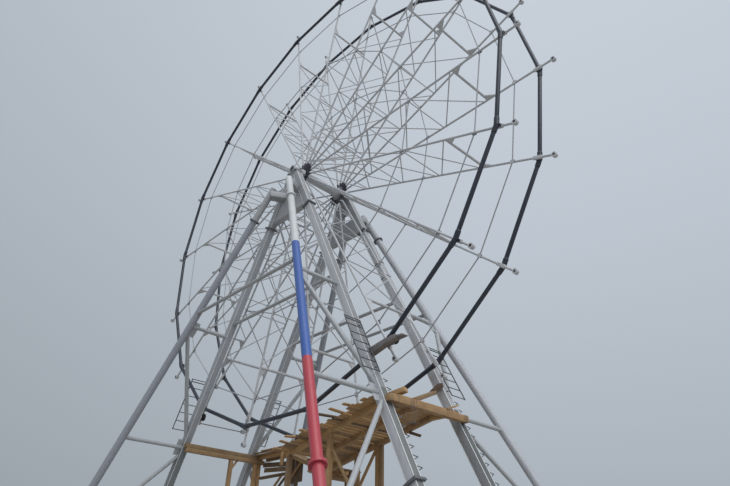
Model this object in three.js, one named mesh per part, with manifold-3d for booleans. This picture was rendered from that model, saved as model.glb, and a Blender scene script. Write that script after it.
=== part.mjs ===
// Fairground ferris wheel under assembly: eighteen lattice spokes between two dark rims, carried by
// four box legs and four raker struts, with a stepped timber staging under the wheel.
// Millimetres, +Z up. The origin is on the ground under the hub, and the hub's shaft runs along Y.
import * as THREE from "three";
import { mergeVertices } from "three/addons/utils/BufferGeometryUtils.js";
import Module from "manifold-3d";

const wasm = await Module();
wasm.setup();

// Driving dimensions of the wheel
const HUB_HEIGHT = 19500;
const RIM_RADIUS = 12500;
const SPOKE_COUNT = 18;
const SPOKE_STEP = (2 * Math.PI) / SPOKE_COUNT;
const CHORD_OFFSET = 1222; // a chord's centre line, out from the middle plane
const CHORD_HALF = 44;
const HUB_FLANGE_REACH = 430;
const SEAT_GAP = 0.3; // between pieces that touch, and all round the shaft in its bearings
const WELD = 0.02;
const TUBE_SIDES = 6;
const ROD_SIDES = 4;

// Spoke frames
const SOCKET = { radius: 13229, offset: 1243, half: 72, reach: 80 }; // holds one side of a cabin
const CHORD_SHORTFALL = 60; // from a chord's end to the middle of its socket
const CROSS_TUBES = [
  { at: 0.2, half: 25, sides: ROD_SIDES },
  { at: 0.4, half: 25, sides: ROD_SIDES },
  { at: 0.6, half: 25, sides: ROD_SIDES },
  { at: 0.8, half: 56, sides: TUBE_SIDES },
];
const WEB_HALF = 22;
const WEB_SETBACK = 130; // of a web bar's end from the cross tube that it runs to
const PRONG = { reach: 480, depth: 330, thickness: 48, back: 40 };

// Rims
const RIM_SIDES = 8;
const RIM_HALF = 82;
const SLEEVE_HALF = 98;
const SLEEVE_REACH = 0.022; // radians each side of a corner
const RIM_OFFSET = CHORD_OFFSET + CHORD_HALF + SEAT_GAP + SLEEVE_HALF;
const ARCS_PER_RIM = 3;
const SLICE_MARGIN = 300; // of a cutting slice past the rim's tube

// Supports: each leg is a straight line given at hub height and at the ground
const LEG_TOP = { x: 45, y: 1752 };
const LEG_FOOT = { x: 9951, y: 1857 };
const LEG_WIDTH = 340;
const LEG_DEPTH = 300;
const RAKER_TOP = { x: 0, y: 2232 };
const RAKER_FOOT = { x: 9930, y: 6106 };
const RAKER_HALF = 158;
const RAKER_SIDES = 8;
const UPPER_SPLICE_DROP = 2940; // below the hub
const LOWER_SPLICE_DROP = 15400;
const SPLICE_PLATE = 30;
const SPLICE_LIP = 60;
const PLATE_SETBACK = 1; // of a splice plate from the end of its tube
const SPLICE_SIZE = [LEG_WIDTH + 2 * SPLICE_LIP, LEG_DEPTH + 2 * SPLICE_LIP];
const BASE_PLATE = 40;
const BASE_LIP = 150;
const BELOW_GROUND = HUB_HEIGHT + 600;
const UPPER_NODE_DROP = 8000;
const LOWER_NODE_DROP = 12680;
const FOOT_NODE_DROP = 17200;
const NODE_SPREAD = 200; // between the ends of two members that meet at a node
const CUT_MARGIN = 1500; // of a cutting space past the members that end on it
const CROSS_TIE_DROP = 7430;
const LINK_HALF = 82;
const BRACE_HALF = 90;
const CROSS_TIE_HALF = 74;
const GUSSET = { along: 760, across: 380, thickness: 26, shift: 240 };

// Hub and bearings
const SHAFT_RADIUS = 140; // to its flats
const SHAFT_END = 1960;
const DRUM_RADIUS = 235;
const DRUM_END = 1420;
const FLANGE_HALF = 42;
const HOUSING = { near: 1560, far: 1980, radius: 195, sides: 12 };
const PEDESTAL = { half: 320, top: 80, bottom: 300 }; // under the housing, on the flat top of the frame
const FRAME_TOP = 250;
const RAKER_STUB_START = 1250;
// From a raker's stub in to the web plate; `root` is its end there, out from the middle
const ELBOW = { drop: 1520, height: 500, width: 300, root: 450 };
const WEB_PLATE = { bottom: 2800, thickness: 40 };

// Rim drives
const TYRE_RADIUS = 165;
const TYRE_WIDTH = 150;
const TYRE_HUB_RADIUS = 62;
const TYRE_HUB_INSET = 20;
const TYRE_SHOULDER = { radial: 35, across: 40 };
const TYRE_SIDES = 12;
const RIM_CLEARANCE = 9;
const DRIVE_OFFSET = 1432; // middle of the tyre
const DRIVE_ANGLES = { left: -117.5, right: -58 }; // of each tyre about the hub, in degrees from +X
const DRIVE_ARM = { y: 1690, width: 220, drop: 11245 }; // the drop is that of its root in the leg
const ARM_OUTLINE = [
  // out from the wheel's middle, above the ground
  [5640, 8060],
  [6880, 8290],
  [6970, 8350],
  [7400, 8430],
  [7520, 8530],
  [7350, 8590],
  [6600, 8630],
  [5640, 8440],
];
const DRIVE_BRACKET = { half: 110, thickness: 50, gap: 45, drop: 320 }; // the drop is below the tyre's axle
const AXLE = { half: 34, sides: 12, end: 15 };

// Service ladders on the outer faces of the legs
const LADDER = { top: 9870, bottom: 11980, near: 20, far: 760, standOff: 330, rungs: 6, half: 22 };

// Timber staging. Tops are drops below the hub
const BEAM_WIDTH = 230;
const LEFT_BEAM = { top: 12540, height: 360, near: -1960, far: 2360 };
const RIGHT_BEAM = { top: 12790, height: 230, near: -1980, far: 1900 };
const DECK_FLOOR = { left: -400, right: 900, height: 5660 }; // the level middle of the boards' underside
const RAMP_TOPS = { left: -3900, right: 6120 }; // where the ramps reach the height of the cross beams
const DECK_PLAN = [
  [1200, -2050],
  [6220, -2050],
  [6220, -1580],
  [7060, -1580],
  [7060, 1200],
  [600, 1200],
  [600, 2750],
  [-6190, 2750],
  [-6190, 1850],
  [-1400, 1850],
  [1200, -500],
];
const BOARD = 50;
const BEARER_HALF = 80;
const POST_HALF = 85;
const KNEE = { half: 45, spread: 1100, drop: 1300 };
const NEAR_ROW = { y: -1500, left: 1150, posts: [1420, 3700], knees: [] };
const MIDDLE_ROW = { y: -250, left: 1250 };
const FAR_ROW = { y: 1000, left: -600, posts: [0, 2350, 3500], knees: [2350] };
const WALKWAY_ROW = { y: 2100, left: -5990, right: 550 };
const REAR_ROW = { y: 2600, left: -6150, right: 560, posts: [-4300, -2100, 0], knees: [-4300, -2100] };
const LEFT_POSTS = [530, 1900, 2110];
const LEFT_KNEE = { spread: 350, drop: 480 };

const steel = new THREE.MeshStandardMaterial({ color: 0x9da2a8, roughness: 0.5, metalness: 0.35 });
const rimPaint = new THREE.MeshStandardMaterial({ color: 0x1c2230, roughness: 0.45, metalness: 0.1 });
const bandPaint = new THREE.MeshStandardMaterial({ color: 0xb03a48, roughness: 0.5, metalness: 0 });
const timber = new THREE.MeshStandardMaterial({ color: 0xa9793f, roughness: 0.85, metalness: 0 });
const rubber = new THREE.MeshStandardMaterial({ color: 0x17181a, roughness: 0.85, metalness: 0 });

const V = (x, y, z) => new THREE.Vector3(x, y, z);

function solidOf(geometry) {
  const bare = geometry.clone();
  bare.deleteAttribute("normal");
  bare.deleteAttribute("uv");
  const merged = mergeVertices(bare, 1e-3);
  return new wasm.Manifold(
    new wasm.Mesh({
      numProp: 3,
      vertProperties: new Float32Array(merged.attributes.position.array),
      triVerts: new Uint32Array(merged.index.array),
    }),
  );
}

// The surface of a solid, with the edges that a cut left shorter than WELD closed up
function geometryOf(solid) {
  const { vertProperties, triVerts } = solid.getMesh();
  const raw = new THREE.BufferGeometry();
  raw.setAttribute("position", new THREE.BufferAttribute(new Float32Array(vertProperties), 3));
  raw.setIndex(new THREE.BufferAttribute(new Uint32Array(triVerts), 1));
  const geometry = mergeVertices(raw, WELD);
  const corners = geometry.index.array;
  const kept = [];
  for (let i = 0; i < corners.length; i += 3) {
    const [a, b, c] = corners.slice(i, i + 3);
    if (a !== b && b !== c && c !== a) kept.push(a, b, c);
  }
  geometry.setIndex(kept);
  geometry.computeVertexNormals();
  return geometry;
}

const join = (solids) => solids.reduce((whole, piece) => whole.add(piece));
const cutAway = (solid, cutters) => cutters.reduce((left, cutter) => left.subtract(cutter), solid);

// Turns local Y to the line from a to b and local Z as near to `face` as it can.
function placeAlong(geometry, a, b, face) {
  const along = b.clone().sub(a).normalize();
  const side = new THREE.Vector3().crossVectors(along, face).normalize();
  const out = new THREE.Vector3().crossVectors(side, along).normalize();
  const middle = a.clone().add(b).multiplyScalar(0.5);
  const matrix = new THREE.Matrix4().makeBasis(side, along, out).setPosition(middle);
  return geometry.applyMatrix4(matrix);
}

// A bar of an even number of sides from a to b, one flat towards `face`, `half` from its centre line.
function bar(a, b, half, sides = 6, face = V(0, 1, 0)) {
  const turn = Math.PI / sides;
  const corner = half / Math.cos(turn);
  const geometry = new THREE.CylinderGeometry(corner, corner, a.distanceTo(b), sides);
  geometry.rotateY(turn);
  return solidOf(placeAlong(geometry, a, b, face));
}

// A square-cornered bar from a to b: `depth` is measured along `face`, `width` across it.
function boxBar(a, b, width, depth, face = V(0, 1, 0)) {
  return solidOf(placeAlong(new THREE.BoxGeometry(width, a.distanceTo(b), depth), a, b, face));
}

function block(lowX, lowY, lowZ, highX, highY, highZ) {
  const geometry = new THREE.BoxGeometry(highX - lowX, highY - lowY, highZ - lowZ);
  geometry.translate((lowX + highX) / 2, (lowY + highY) / 2, (lowZ + highZ) / 2);
  return solidOf(geometry);
}

// A flat outline of [x, z] points, thick along Y from lowY to highY.
function plateXZ(outline, lowY, highY) {
  const shape = new THREE.Shape(outline.map(([x, z]) => new THREE.Vector2(x, z)));
  const geometry = new THREE.ExtrudeGeometry(shape, { depth: highY - lowY, bevelEnabled: false });
  geometry.rotateX(Math.PI / 2);
  geometry.translate(0, highY, 0);
  return solidOf(geometry);
}

// A drum about the Y axis from [radius, y] points, with its flats square to the spokes.
function drum(profile) {
  const flat = 1 / Math.cos(SPOKE_STEP / 2);
  const points = profile.map(([r, y]) => new THREE.Vector2(r * flat, y));
  return solidOf(new THREE.LatheGeometry(points, SPOKE_COUNT, Math.PI / 2 + SPOKE_STEP / 2));
}

const model = new THREE.Group();
const wheel = new THREE.Group();
wheel.position.z = HUB_HEIGHT;
model.add(wheel);

function addMesh(name, solid, material, parent = model) {
  const mesh = new THREE.Mesh(geometryOf(solid), material);
  mesh.name = name;
  parent.add(mesh);
  return mesh;
}

// Hub: a shaft, a drum and two flanges that the spoke chords bolt to
function hubSolid() {
  const flange = (side) => [
    [DRUM_RADIUS, side * CHORD_OFFSET - FLANGE_HALF],
    [HUB_FLANGE_REACH, side * CHORD_OFFSET - FLANGE_HALF],
    [HUB_FLANGE_REACH, side * CHORD_OFFSET + FLANGE_HALF],
    [DRUM_RADIUS, side * CHORD_OFFSET + FLANGE_HALF],
  ];
  return drum([
    [0, -SHAFT_END],
    [SHAFT_RADIUS, -SHAFT_END],
    [SHAFT_RADIUS, -DRUM_END],
    [DRUM_RADIUS, -DRUM_END],
    ...flange(-1),
    ...flange(1),
    [DRUM_RADIUS, DRUM_END],
    [SHAFT_RADIUS, DRUM_END],
    [SHAFT_RADIUS, SHAFT_END],
    [0, SHAFT_END],
  ]);
}
addMesh("wheel_hub", hubSolid(), steel, wheel);

// One spoke frame along +X: two chords, cross tubes with pronged ends, web bars and cabin sockets
function spokeSolid() {
  const up = V(0, 1, 0);
  const inner = HUB_FLANGE_REACH + SEAT_GAP;
  const pieces = [];
  for (const side of [-1, 1]) {
    const chordY = side * CHORD_OFFSET;
    const outer = SOCKET.radius - CHORD_SHORTFALL;
    pieces.push(bar(V(inner, chordY, 0), V(outer, chordY, 0), CHORD_HALF, TUBE_SIDES, up));
    const socketEnd = (end) => V(SOCKET.radius, side * (SOCKET.offset + end * SOCKET.reach), 0);
    pieces.push(bar(socketEnd(-1), socketEnd(1), SOCKET.half, TUBE_SIDES, V(1, 0, 0)));
  }
  for (const { at, half, sides } of CROSS_TUBES) {
    const x = at * RIM_RADIUS;
    pieces.push(bar(V(x, -CHORD_OFFSET, 0), V(x, CHORD_OFFSET, 0), half, sides, V(0, 0, 1)));
  }
  for (let i = 1; i < CROSS_TUBES.length; i++) {
    const from = V(CROSS_TUBES[i - 1].at * RIM_RADIUS + WEB_SETBACK, -CHORD_OFFSET, 0);
    const to = V(CROSS_TUBES[i].at * RIM_RADIUS - WEB_SETBACK, CHORD_OFFSET, 0);
    pieces.push(bar(from, to, WEB_HALF, ROD_SIDES, V(0, 0, 1)));
  }
  const prongX = CROSS_TUBES.at(-1).at * RIM_RADIUS;
  for (const side of [-1, 1]) {
    const prong = new THREE.Shape([
      new THREE.Vector2(prongX - PRONG.back, side * (CHORD_OFFSET - PRONG.depth)),
      new THREE.Vector2(prongX + PRONG.back, side * (CHORD_OFFSET - PRONG.depth)),
      new THREE.Vector2(prongX + PRONG.reach, side * CHORD_OFFSET),
      new THREE.Vector2(prongX - PRONG.back, side * CHORD_OFFSET),
    ]);
    const geometry = new THREE.ExtrudeGeometry(prong, { depth: PRONG.thickness, bevelEnabled: false });
    geometry.translate(0, 0, -PRONG.thickness / 2);
    pieces.push(solidOf(geometry));
  }
  return join(pieces);
}
const spoke = spokeSolid();
for (let i = 0; i < SPOKE_COUNT; i++) {
  const name = "spoke_frame_" + String(i + 1).padStart(2, "0");
  addMesh(name, spoke, steel, wheel).rotation.y = -i * SPOKE_STEP;
}

// Rims: eighteen-sided rings of round tube with a thick sleeve at each corner, made in arcs
function ringSolid(half, y) {
  const reach = half / Math.cos(Math.PI / RIM_SIDES);
  const outline = [];
  for (let i = 0; i <= RIM_SIDES; i++) {
    const angle = ((0.5 - i) / RIM_SIDES) * 2 * Math.PI;
    outline.push(new THREE.Vector2(RIM_RADIUS + reach * Math.cos(-angle), y + reach * Math.sin(-angle)));
  }
  return solidOf(new THREE.LatheGeometry(outline, SPOKE_COUNT, Math.PI / 2));
}

// A slice of the space round the axle between two angles, measured from +X towards +Z
function sector(from, to, y) {
  const reach = (RIM_RADIUS + SLICE_MARGIN) / Math.cos((to - from) / 4);
  const outline = [from, (from + to) / 2, to].map((a) => [reach * Math.cos(a), reach * Math.sin(a)]);
  return plateXZ([[0, 0], ...outline], y - SLICE_MARGIN, y + SLICE_MARGIN);
}

function rimArc(y, from, to) {
  const sleeves = [];
  for (let i = 0; i < SPOKE_COUNT; i++) {
    const angle = i * SPOKE_STEP;
    sleeves.push(sector(angle - SLEEVE_REACH, angle + SLEEVE_REACH, y));
  }
  const thick = ringSolid(SLEEVE_HALF, y).intersect(join(sleeves));
  return ringSolid(RIM_HALF, y).add(thick).intersect(sector(from, to, y));
}
for (const [rimName, side] of [["near_rim", -1], ["far_rim", 1]]) {
  const span = (2 * Math.PI) / ARCS_PER_RIM;
  const cut = SEAT_GAP / 2 / RIM_RADIUS;
  for (let i = 0; i < ARCS_PER_RIM; i++) {
    const start = SPOKE_STEP / 2 + i * span;
    const solid = rimArc(side * RIM_OFFSET, start + cut, start + span - cut);
    addMesh(rimName + "_arc_" + (i + 1), solid, rimPaint, wheel);
  }
}

// Points on the centre lines of the legs and rakers, by the drop below the hub
const along = (top, foot, sx, sy, drop) => {
  const t = drop / HUB_HEIGHT;
  return V(sx * (top.x + (foot.x - top.x) * t), sy * (top.y + (foot.y - top.y) * t), HUB_HEIGHT - drop);
};
const legPoint = (sx, sy, drop) => along(LEG_TOP, LEG_FOOT, sx, sy, drop);
const rakerPoint = (sx, sy, drop) => along(RAKER_TOP, RAKER_FOOT, sx, sy, drop);
const CORNERS = [
  { name: "near_left", sx: -1, sy: -1 },
  { name: "near_right", sx: 1, sy: -1 },
  { name: "far_left", sx: -1, sy: 1 },
  { name: "far_right", sx: 1, sy: 1 },
];

const groundHalf = LEG_FOOT.x + CUT_MARGIN;
const ground = block(-groundHalf, -groundHalf, -CUT_MARGIN, groundHalf, groundHalf, 0);

// The space that a leg or raker takes up, grown by the gap that a neighbour keeps to it
function legSpace({ sx, sy }, from, to, grow) {
  const width = LEG_WIDTH + 2 * grow;
  const depth = LEG_DEPTH + 2 * grow;
  return boxBar(legPoint(sx, sy, from), legPoint(sx, sy, to), width, depth);
}
function rakerSpace({ sx, sy }, from, to, grow) {
  return bar(rakerPoint(sx, sy, from), rakerPoint(sx, sy, to), RAKER_HALF + grow, RAKER_SIDES);
}
function baseBlock(point, halfX, halfY) {
  return block(point.x - halfX, point.y - halfY, -BASE_PLATE, point.x + halfX, point.y + halfY, BASE_PLATE);
}

function legSolid(corner) {
  const { sx, sy } = corner;
  const flange = (from, to) => boxBar(legPoint(sx, sy, from), legPoint(sx, sy, to), ...SPLICE_SIZE);
  const foot = legPoint(sx, sy, HUB_HEIGHT);
  const whole = join([
    legSpace(corner, UPPER_SPLICE_DROP, BELOW_GROUND, 0),
    flange(UPPER_SPLICE_DROP + PLATE_SETBACK, UPPER_SPLICE_DROP + SPLICE_PLATE),
    flange(LOWER_SPLICE_DROP - SPLICE_PLATE, LOWER_SPLICE_DROP + SPLICE_PLATE),
    baseBlock(foot, LEG_WIDTH / 2 + BASE_LIP, LEG_DEPTH / 2 + BASE_LIP),
  ]);
  return whole.subtract(ground);
}

function rakerSolid(corner) {
  const { sx, sy } = corner;
  const collar = (from, to) =>
    bar(rakerPoint(sx, sy, from), rakerPoint(sx, sy, to), RAKER_HALF + SPLICE_LIP, RAKER_SIDES);
  const whole = join([
    rakerSpace(corner, UPPER_SPLICE_DROP, BELOW_GROUND, 0),
    collar(UPPER_SPLICE_DROP + PLATE_SETBACK, UPPER_SPLICE_DROP + SPLICE_PLATE),
    collar(LOWER_SPLICE_DROP - SPLICE_PLATE, LOWER_SPLICE_DROP + SPLICE_PLATE),
    baseBlock(rakerPoint(sx, sy, HUB_HEIGHT), RAKER_HALF + BASE_LIP, RAKER_HALF + BASE_LIP),
  ]);
  return whole.subtract(ground);
}

for (const corner of CORNERS) {
  addMesh("leg_" + corner.name, legSolid(corner), steel);
  const painted = corner.name === "near_right";
  addMesh("raker_" + corner.name, rakerSolid(corner), painted ? bandPaint : steel);
}

// Bearing heads: the shaft's housing on the flat top of a frame of two leg stubs and a web plate, with
// the stubs of two rakers on elbows outside it
function bearingHead(sy) {
  const across = (y) => V(0, sy * y, HUB_HEIGHT);
  const upwards = V(0, 0, 1);
  const end = UPPER_SPLICE_DROP - SEAT_GAP;
  const plate = (point, sx) => [SPLICE_PLATE, PLATE_SETBACK].map((back) => point(sx, sy, end - back));
  const edge = (drop) => legPoint(1, sy, drop).x;
  const web = [
    [-edge(0), 0],
    [-edge(WEB_PLATE.bottom), -WEB_PLATE.bottom],
    [edge(WEB_PLATE.bottom), -WEB_PLATE.bottom],
    [edge(0), 0],
  ].map(([x, z]) => [x, HUB_HEIGHT + z]);
  const webY = sy * legPoint(1, 1, WEB_PLATE.bottom / 2).y;
  const frame = [plateXZ(web, webY - WEB_PLATE.thickness / 2, webY + WEB_PLATE.thickness / 2)];
  const outside = [];
  for (const sx of [-1, 1]) {
    frame.push(legSpace({ sx, sy }, 0, end, 0), boxBar(...plate(legPoint, sx), ...SPLICE_SIZE));
    outside.push(rakerSpace({ sx, sy }, RAKER_STUB_START, end, 0));
    outside.push(bar(...plate(rakerPoint, sx), RAKER_HALF + SPLICE_LIP, RAKER_SIDES));
    const elbowEnds = [rakerPoint(sx, sy, ELBOW.drop), V(sx * ELBOW.root, webY, HUB_HEIGHT - ELBOW.drop)];
    outside.push(boxBar(...elbowEnds, ELBOW.width, ELBOW.height, upwards));
  }
  const top = HUB_HEIGHT - FRAME_TOP;
  const above = block(-CUT_MARGIN, -groundHalf, top, CUT_MARGIN, groundHalf, top + CUT_MARGIN);
  const [low, high] = [sy * HOUSING.near, sy * HOUSING.far].sort((a, b) => a - b);
  const pedestalZ = [HUB_HEIGHT - PEDESTAL.bottom, HUB_HEIGHT - PEDESTAL.top];
  const seat = [
    bar(across(HOUSING.near), across(HOUSING.far), HOUSING.radius, HOUSING.sides, upwards),
    block(-PEDESTAL.half, low, pedestalZ[0], PEDESTAL.half, high, pedestalZ[1]),
  ];
  const boreRadius = SHAFT_RADIUS / Math.cos(SPOKE_STEP / 2) + SEAT_GAP;
  const boreEnds = [across(HOUSING.near - HOUSING.radius), across(HOUSING.far + HOUSING.radius)];
  const bore = bar(...boreEnds, boreRadius, SPOKE_COUNT, upwards);
  return join([join(frame).subtract(above), ...outside, ...seat]).subtract(bore);
}
addMesh("bearing_head_near", bearingHead(-1), steel);
addMesh("bearing_head_far", bearingHead(1), steel);

// Cross ties between the two legs, and between the two rakers, of one side
for (const [name, sy] of [["near", -1], ["far", 1]]) {
  const pair = CORNERS.filter((corner) => corner.sy === sy);
  const tie = (point) =>
    bar(point(-1, sy, CROSS_TIE_DROP), point(1, sy, CROSS_TIE_DROP), CROSS_TIE_HALF, RAKER_SIDES);
  const reach = [CROSS_TIE_DROP - CUT_MARGIN, CROSS_TIE_DROP + CUT_MARGIN, SEAT_GAP];
  const legs = pair.map((corner) => legSpace(corner, ...reach));
  const rakers = pair.map((corner) => rakerSpace(corner, ...reach));
  addMesh("leg_tie_" + name, cutAway(tie(legPoint), legs), steel);
  addMesh("raker_tie_" + name, cutAway(tie(rakerPoint), rakers), steel);
}

// Corner braces: two links, a diagonal and a foot diagonal between a leg and its raker, on gussets
function cornerBrace(corner) {
  const { sx, sy } = corner;
  const leg = (drop) => legPoint(sx, sy, drop);
  const raker = (drop) => rakerPoint(sx, sy, drop);
  const plane = new THREE.Vector3().crossVectors(leg(1000).sub(leg(0)), V(0, 1, 0)).normalize();
  const gusset = (point, drop, towards) => {
    const centre = point(drop).add(V(0, towards * GUSSET.shift, 0));
    const half = point(drop + 1).sub(point(drop)).normalize().multiplyScalar(GUSSET.along / 2);
    const ends = [centre.clone().sub(half), centre.clone().add(half)];
    return boxBar(...ends, GUSSET.across, GUSSET.thickness, plane);
  };
  const tube = (a, b, half) => bar(a, b, half, TUBE_SIDES, plane);
  const whole = join([
    tube(raker(UPPER_NODE_DROP), leg(UPPER_NODE_DROP), LINK_HALF),
    tube(raker(UPPER_NODE_DROP + NODE_SPREAD), leg(LOWER_NODE_DROP - NODE_SPREAD), BRACE_HALF),
    tube(raker(LOWER_NODE_DROP), leg(LOWER_NODE_DROP), LINK_HALF),
    tube(leg(LOWER_NODE_DROP + NODE_SPREAD), raker(FOOT_NODE_DROP), LINK_HALF),
    gusset(raker, UPPER_NODE_DROP + NODE_SPREAD / 2, -sy),
    gusset(leg, LOWER_NODE_DROP, sy),
  ]);
  const reach = [UPPER_NODE_DROP - CUT_MARGIN, FOOT_NODE_DROP + CUT_MARGIN, SEAT_GAP];
  return cutAway(whole, [legSpace(corner, ...reach), rakerSpace(corner, ...reach)]);
}
for (const corner of CORNERS) addMesh("corner_brace_" + corner.name, cornerBrace(corner), steel);

// Rim drives on the near side: a tyre that runs on the rim from below, on a bracket. The right one
// stands on a tapered arm out of its leg, and the left one is fixed to the leg's inner face.
const tyreReach = RIM_RADIUS + SLEEVE_HALF / Math.cos(Math.PI / RIM_SIDES) + RIM_CLEARANCE + TYRE_RADIUS;
function tyreCentre(sx) {
  const angle = THREE.MathUtils.degToRad(sx < 0 ? DRIVE_ANGLES.left : DRIVE_ANGLES.right);
  return V(tyreReach * Math.cos(angle), -DRIVE_OFFSET, HUB_HEIGHT + tyreReach * Math.sin(angle));
}

function rimDrive(sx) {
  const { x, z } = tyreCentre(sx);
  const { half, thickness, gap, drop } = DRIVE_BRACKET;
  const inner = -(DRIVE_OFFSET + TYRE_WIDTH / 2 + gap);
  const outer = sx < 0 ? -DRIVE_ARM.y : inner - thickness;
  const bracket = block(x - half, outer, z - drop, x + half, inner, z + half);
  const axleEnds = [V(x, -(DRIVE_OFFSET - TYRE_WIDTH / 2 - AXLE.end), z), V(x, inner - thickness / 2, z)];
  const pieces = [bracket, bar(...axleEnds, AXLE.half, AXLE.sides, V(0, 0, 1))];
  if (sx > 0) {
    const sides = [-1, 1].map((way) => -DRIVE_ARM.y + (way * DRIVE_ARM.width) / 2);
    pieces.push(plateXZ(ARM_OUTLINE, ...sides));
  }
  const leg = { sx, sy: -1 };
  return join(pieces).subtract(
    legSpace(leg, DRIVE_ARM.drop - CUT_MARGIN, DRIVE_ARM.drop + CUT_MARGIN, SEAT_GAP),
  );
}

function tyreSolid() {
  const half = TYRE_WIDTH / 2;
  const hubEnd = half - TYRE_HUB_INSET;
  const bore = (AXLE.half / Math.cos(Math.PI / AXLE.sides) + SEAT_GAP) / Math.cos(Math.PI / TYRE_SIDES);
  const profile = [
    [bore, -hubEnd],
    [TYRE_HUB_RADIUS, -hubEnd],
    [TYRE_RADIUS - TYRE_SHOULDER.radial, -half],
    [TYRE_RADIUS, TYRE_SHOULDER.across - half],
    [TYRE_RADIUS, half - TYRE_SHOULDER.across],
    [TYRE_RADIUS - TYRE_SHOULDER.radial, half],
    [TYRE_HUB_RADIUS, hubEnd],
    [bore, hubEnd],
    [bore, -hubEnd],
  ];
  return solidOf(new THREE.LatheGeometry(profile.map(([r, y]) => new THREE.Vector2(r, y)), TYRE_SIDES));
}
const tyre = tyreSolid();
for (const [name, sx] of [["near_left", -1], ["near_right", 1]]) {
  addMesh("rim_drive_" + name, rimDrive(sx), steel);
  addMesh("drive_tyre_" + name, tyre, rubber).position.copy(tyreCentre(sx));
}

// Service ladders: two rails and their rungs beside the leg, standing off its outer face on two arms
function serviceLadder({ sx, sy }) {
  const { near, far, standOff, rungs, half, top, bottom } = LADDER;
  const at = (drop, out) => legPoint(sx, sy, drop).add(V(sx * standOff, sy * out, 0));
  const length = at(top, near).distanceTo(at(bottom, near));
  const width = far - near;
  const pitch = (length - 2 * half) / rungs;
  const rectangle = (path, x0, y0, x1, y1) =>
    path.moveTo(x0, y0).lineTo(x1, y0).lineTo(x1, y1).lineTo(x0, y1);
  const frame = rectangle(new THREE.Shape(), -half, 0, width + half, length);
  for (let i = 0; i < rungs; i++) {
    const low = 2 * half + i * pitch;
    frame.holes.push(rectangle(new THREE.Path(), half, low, width - half, low + pitch - 2 * half));
  }
  const geometry = new THREE.ExtrudeGeometry(frame, { depth: 2 * half, bevelEnabled: false });
  geometry.translate(-width / 2, -length / 2, -half);
  const middle = (drop) => at(drop, (near + far) / 2);
  const flatTowards = V(sx, 0, 0);
  const pieces = [solidOf(placeAlong(geometry, middle(bottom), middle(top), flatTowards))];
  for (const drop of [top + NODE_SPREAD, bottom - NODE_SPREAD]) {
    const root = legPoint(sx, sy, drop).add(V(0, sy * near, 0));
    pieces.push(bar(root, at(drop, near), half - 4, ROD_SIDES));
  }
  const leg = legSpace({ sx, sy }, top - CUT_MARGIN, bottom + CUT_MARGIN, SEAT_GAP);
  return join(pieces).subtract(leg);
}
for (const corner of CORNERS) addMesh("service_ladder_" + corner.name, serviceLadder(corner), steel);

// Timber staging. Cross beams: the left one inside the left legs, the right one outside the right legs
const legFace = (drop, way) => {
  const slope = (LEG_FOOT.x - LEG_TOP.x) / HUB_HEIGHT;
  return legPoint(1, 1, drop).x + way * (LEG_WIDTH / 2) * Math.hypot(1, slope);
};
const leftTop = HUB_HEIGHT - LEFT_BEAM.top;
const leftUnder = leftTop - LEFT_BEAM.height;
const rightTop = HUB_HEIGHT - RIGHT_BEAM.top;
const leftFace = -legFace(LEFT_BEAM.top, -1) + SEAT_GAP;
const rightFace = legFace(RIGHT_BEAM.top + RIGHT_BEAM.height, 1) + SEAT_GAP;
const crossBeam = ({ height, near, far }, left, top) =>
  block(left, near, top - height, left + BEAM_WIDTH, far, top);
const post = (x, y, top) => block(x - POST_HALF, y - POST_HALF, 0, x + POST_HALF, y + POST_HALF, top);

function leftBeamWithPosts() {
  const x = leftFace + BEAM_WIDTH / 2;
  const inBeam = leftUnder + POST_HALF;
  const [kneeY] = LEFT_POSTS;
  const kneeEnds = [V(x, kneeY, leftUnder - LEFT_KNEE.drop), V(x, kneeY + LEFT_KNEE.spread, inBeam)];
  const posts = LEFT_POSTS.map((y) => post(x, y, inBeam));
  const knee = bar(...kneeEnds, KNEE.half, ROD_SIDES, V(1, 0, 0));
  return join([crossBeam(LEFT_BEAM, leftFace, leftTop), ...posts, knee]);
}
addMesh("cross_beam_left", leftBeamWithPosts(), timber);
addMesh("cross_beam_right", crossBeam(RIGHT_BEAM, rightFace, rightTop), timber);

// The underside of the boards: level on the cross beams, with two ramps down to a level middle
const deckLine = [
  [RAMP_TOPS.left, leftTop + SEAT_GAP],
  [DECK_FLOOR.left, DECK_FLOOR.height],
  [DECK_FLOOR.right, DECK_FLOOR.height],
  [RAMP_TOPS.right, rightTop + SEAT_GAP],
];
function deckUnder(x) {
  const i = deckLine.findIndex(([at]) => at > x);
  if (i < 1) return i ? deckLine.at(-1)[1] : deckLine[0][1];
  const [[lowX, low], [highX, high]] = [deckLine[i - 1], deckLine[i]];
  return THREE.MathUtils.mapLinear(x, lowX, highX, low, high);
}

// A length that follows the boards, from `low` to `high` above their underside
function followingDeck(left, right, low, high, near, far) {
  const between = deckLine.map(([x]) => x).filter((x) => x > left && x < right);
  const edge = (above) => [left, ...between, right].map((x) => [x, deckUnder(x) + above]);
  return plateXZ([...edge(low), ...edge(high).reverse()], near, far);
}

// A bearer under the boards; one without a right end runs to the right cross beam
const bearer = ({ y, left, right = rightFace - SEAT_GAP }, top) =>
  followingDeck(left, right, -2 * BEARER_HALF, top, y - BEARER_HALF, y + BEARER_HALF);

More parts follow.
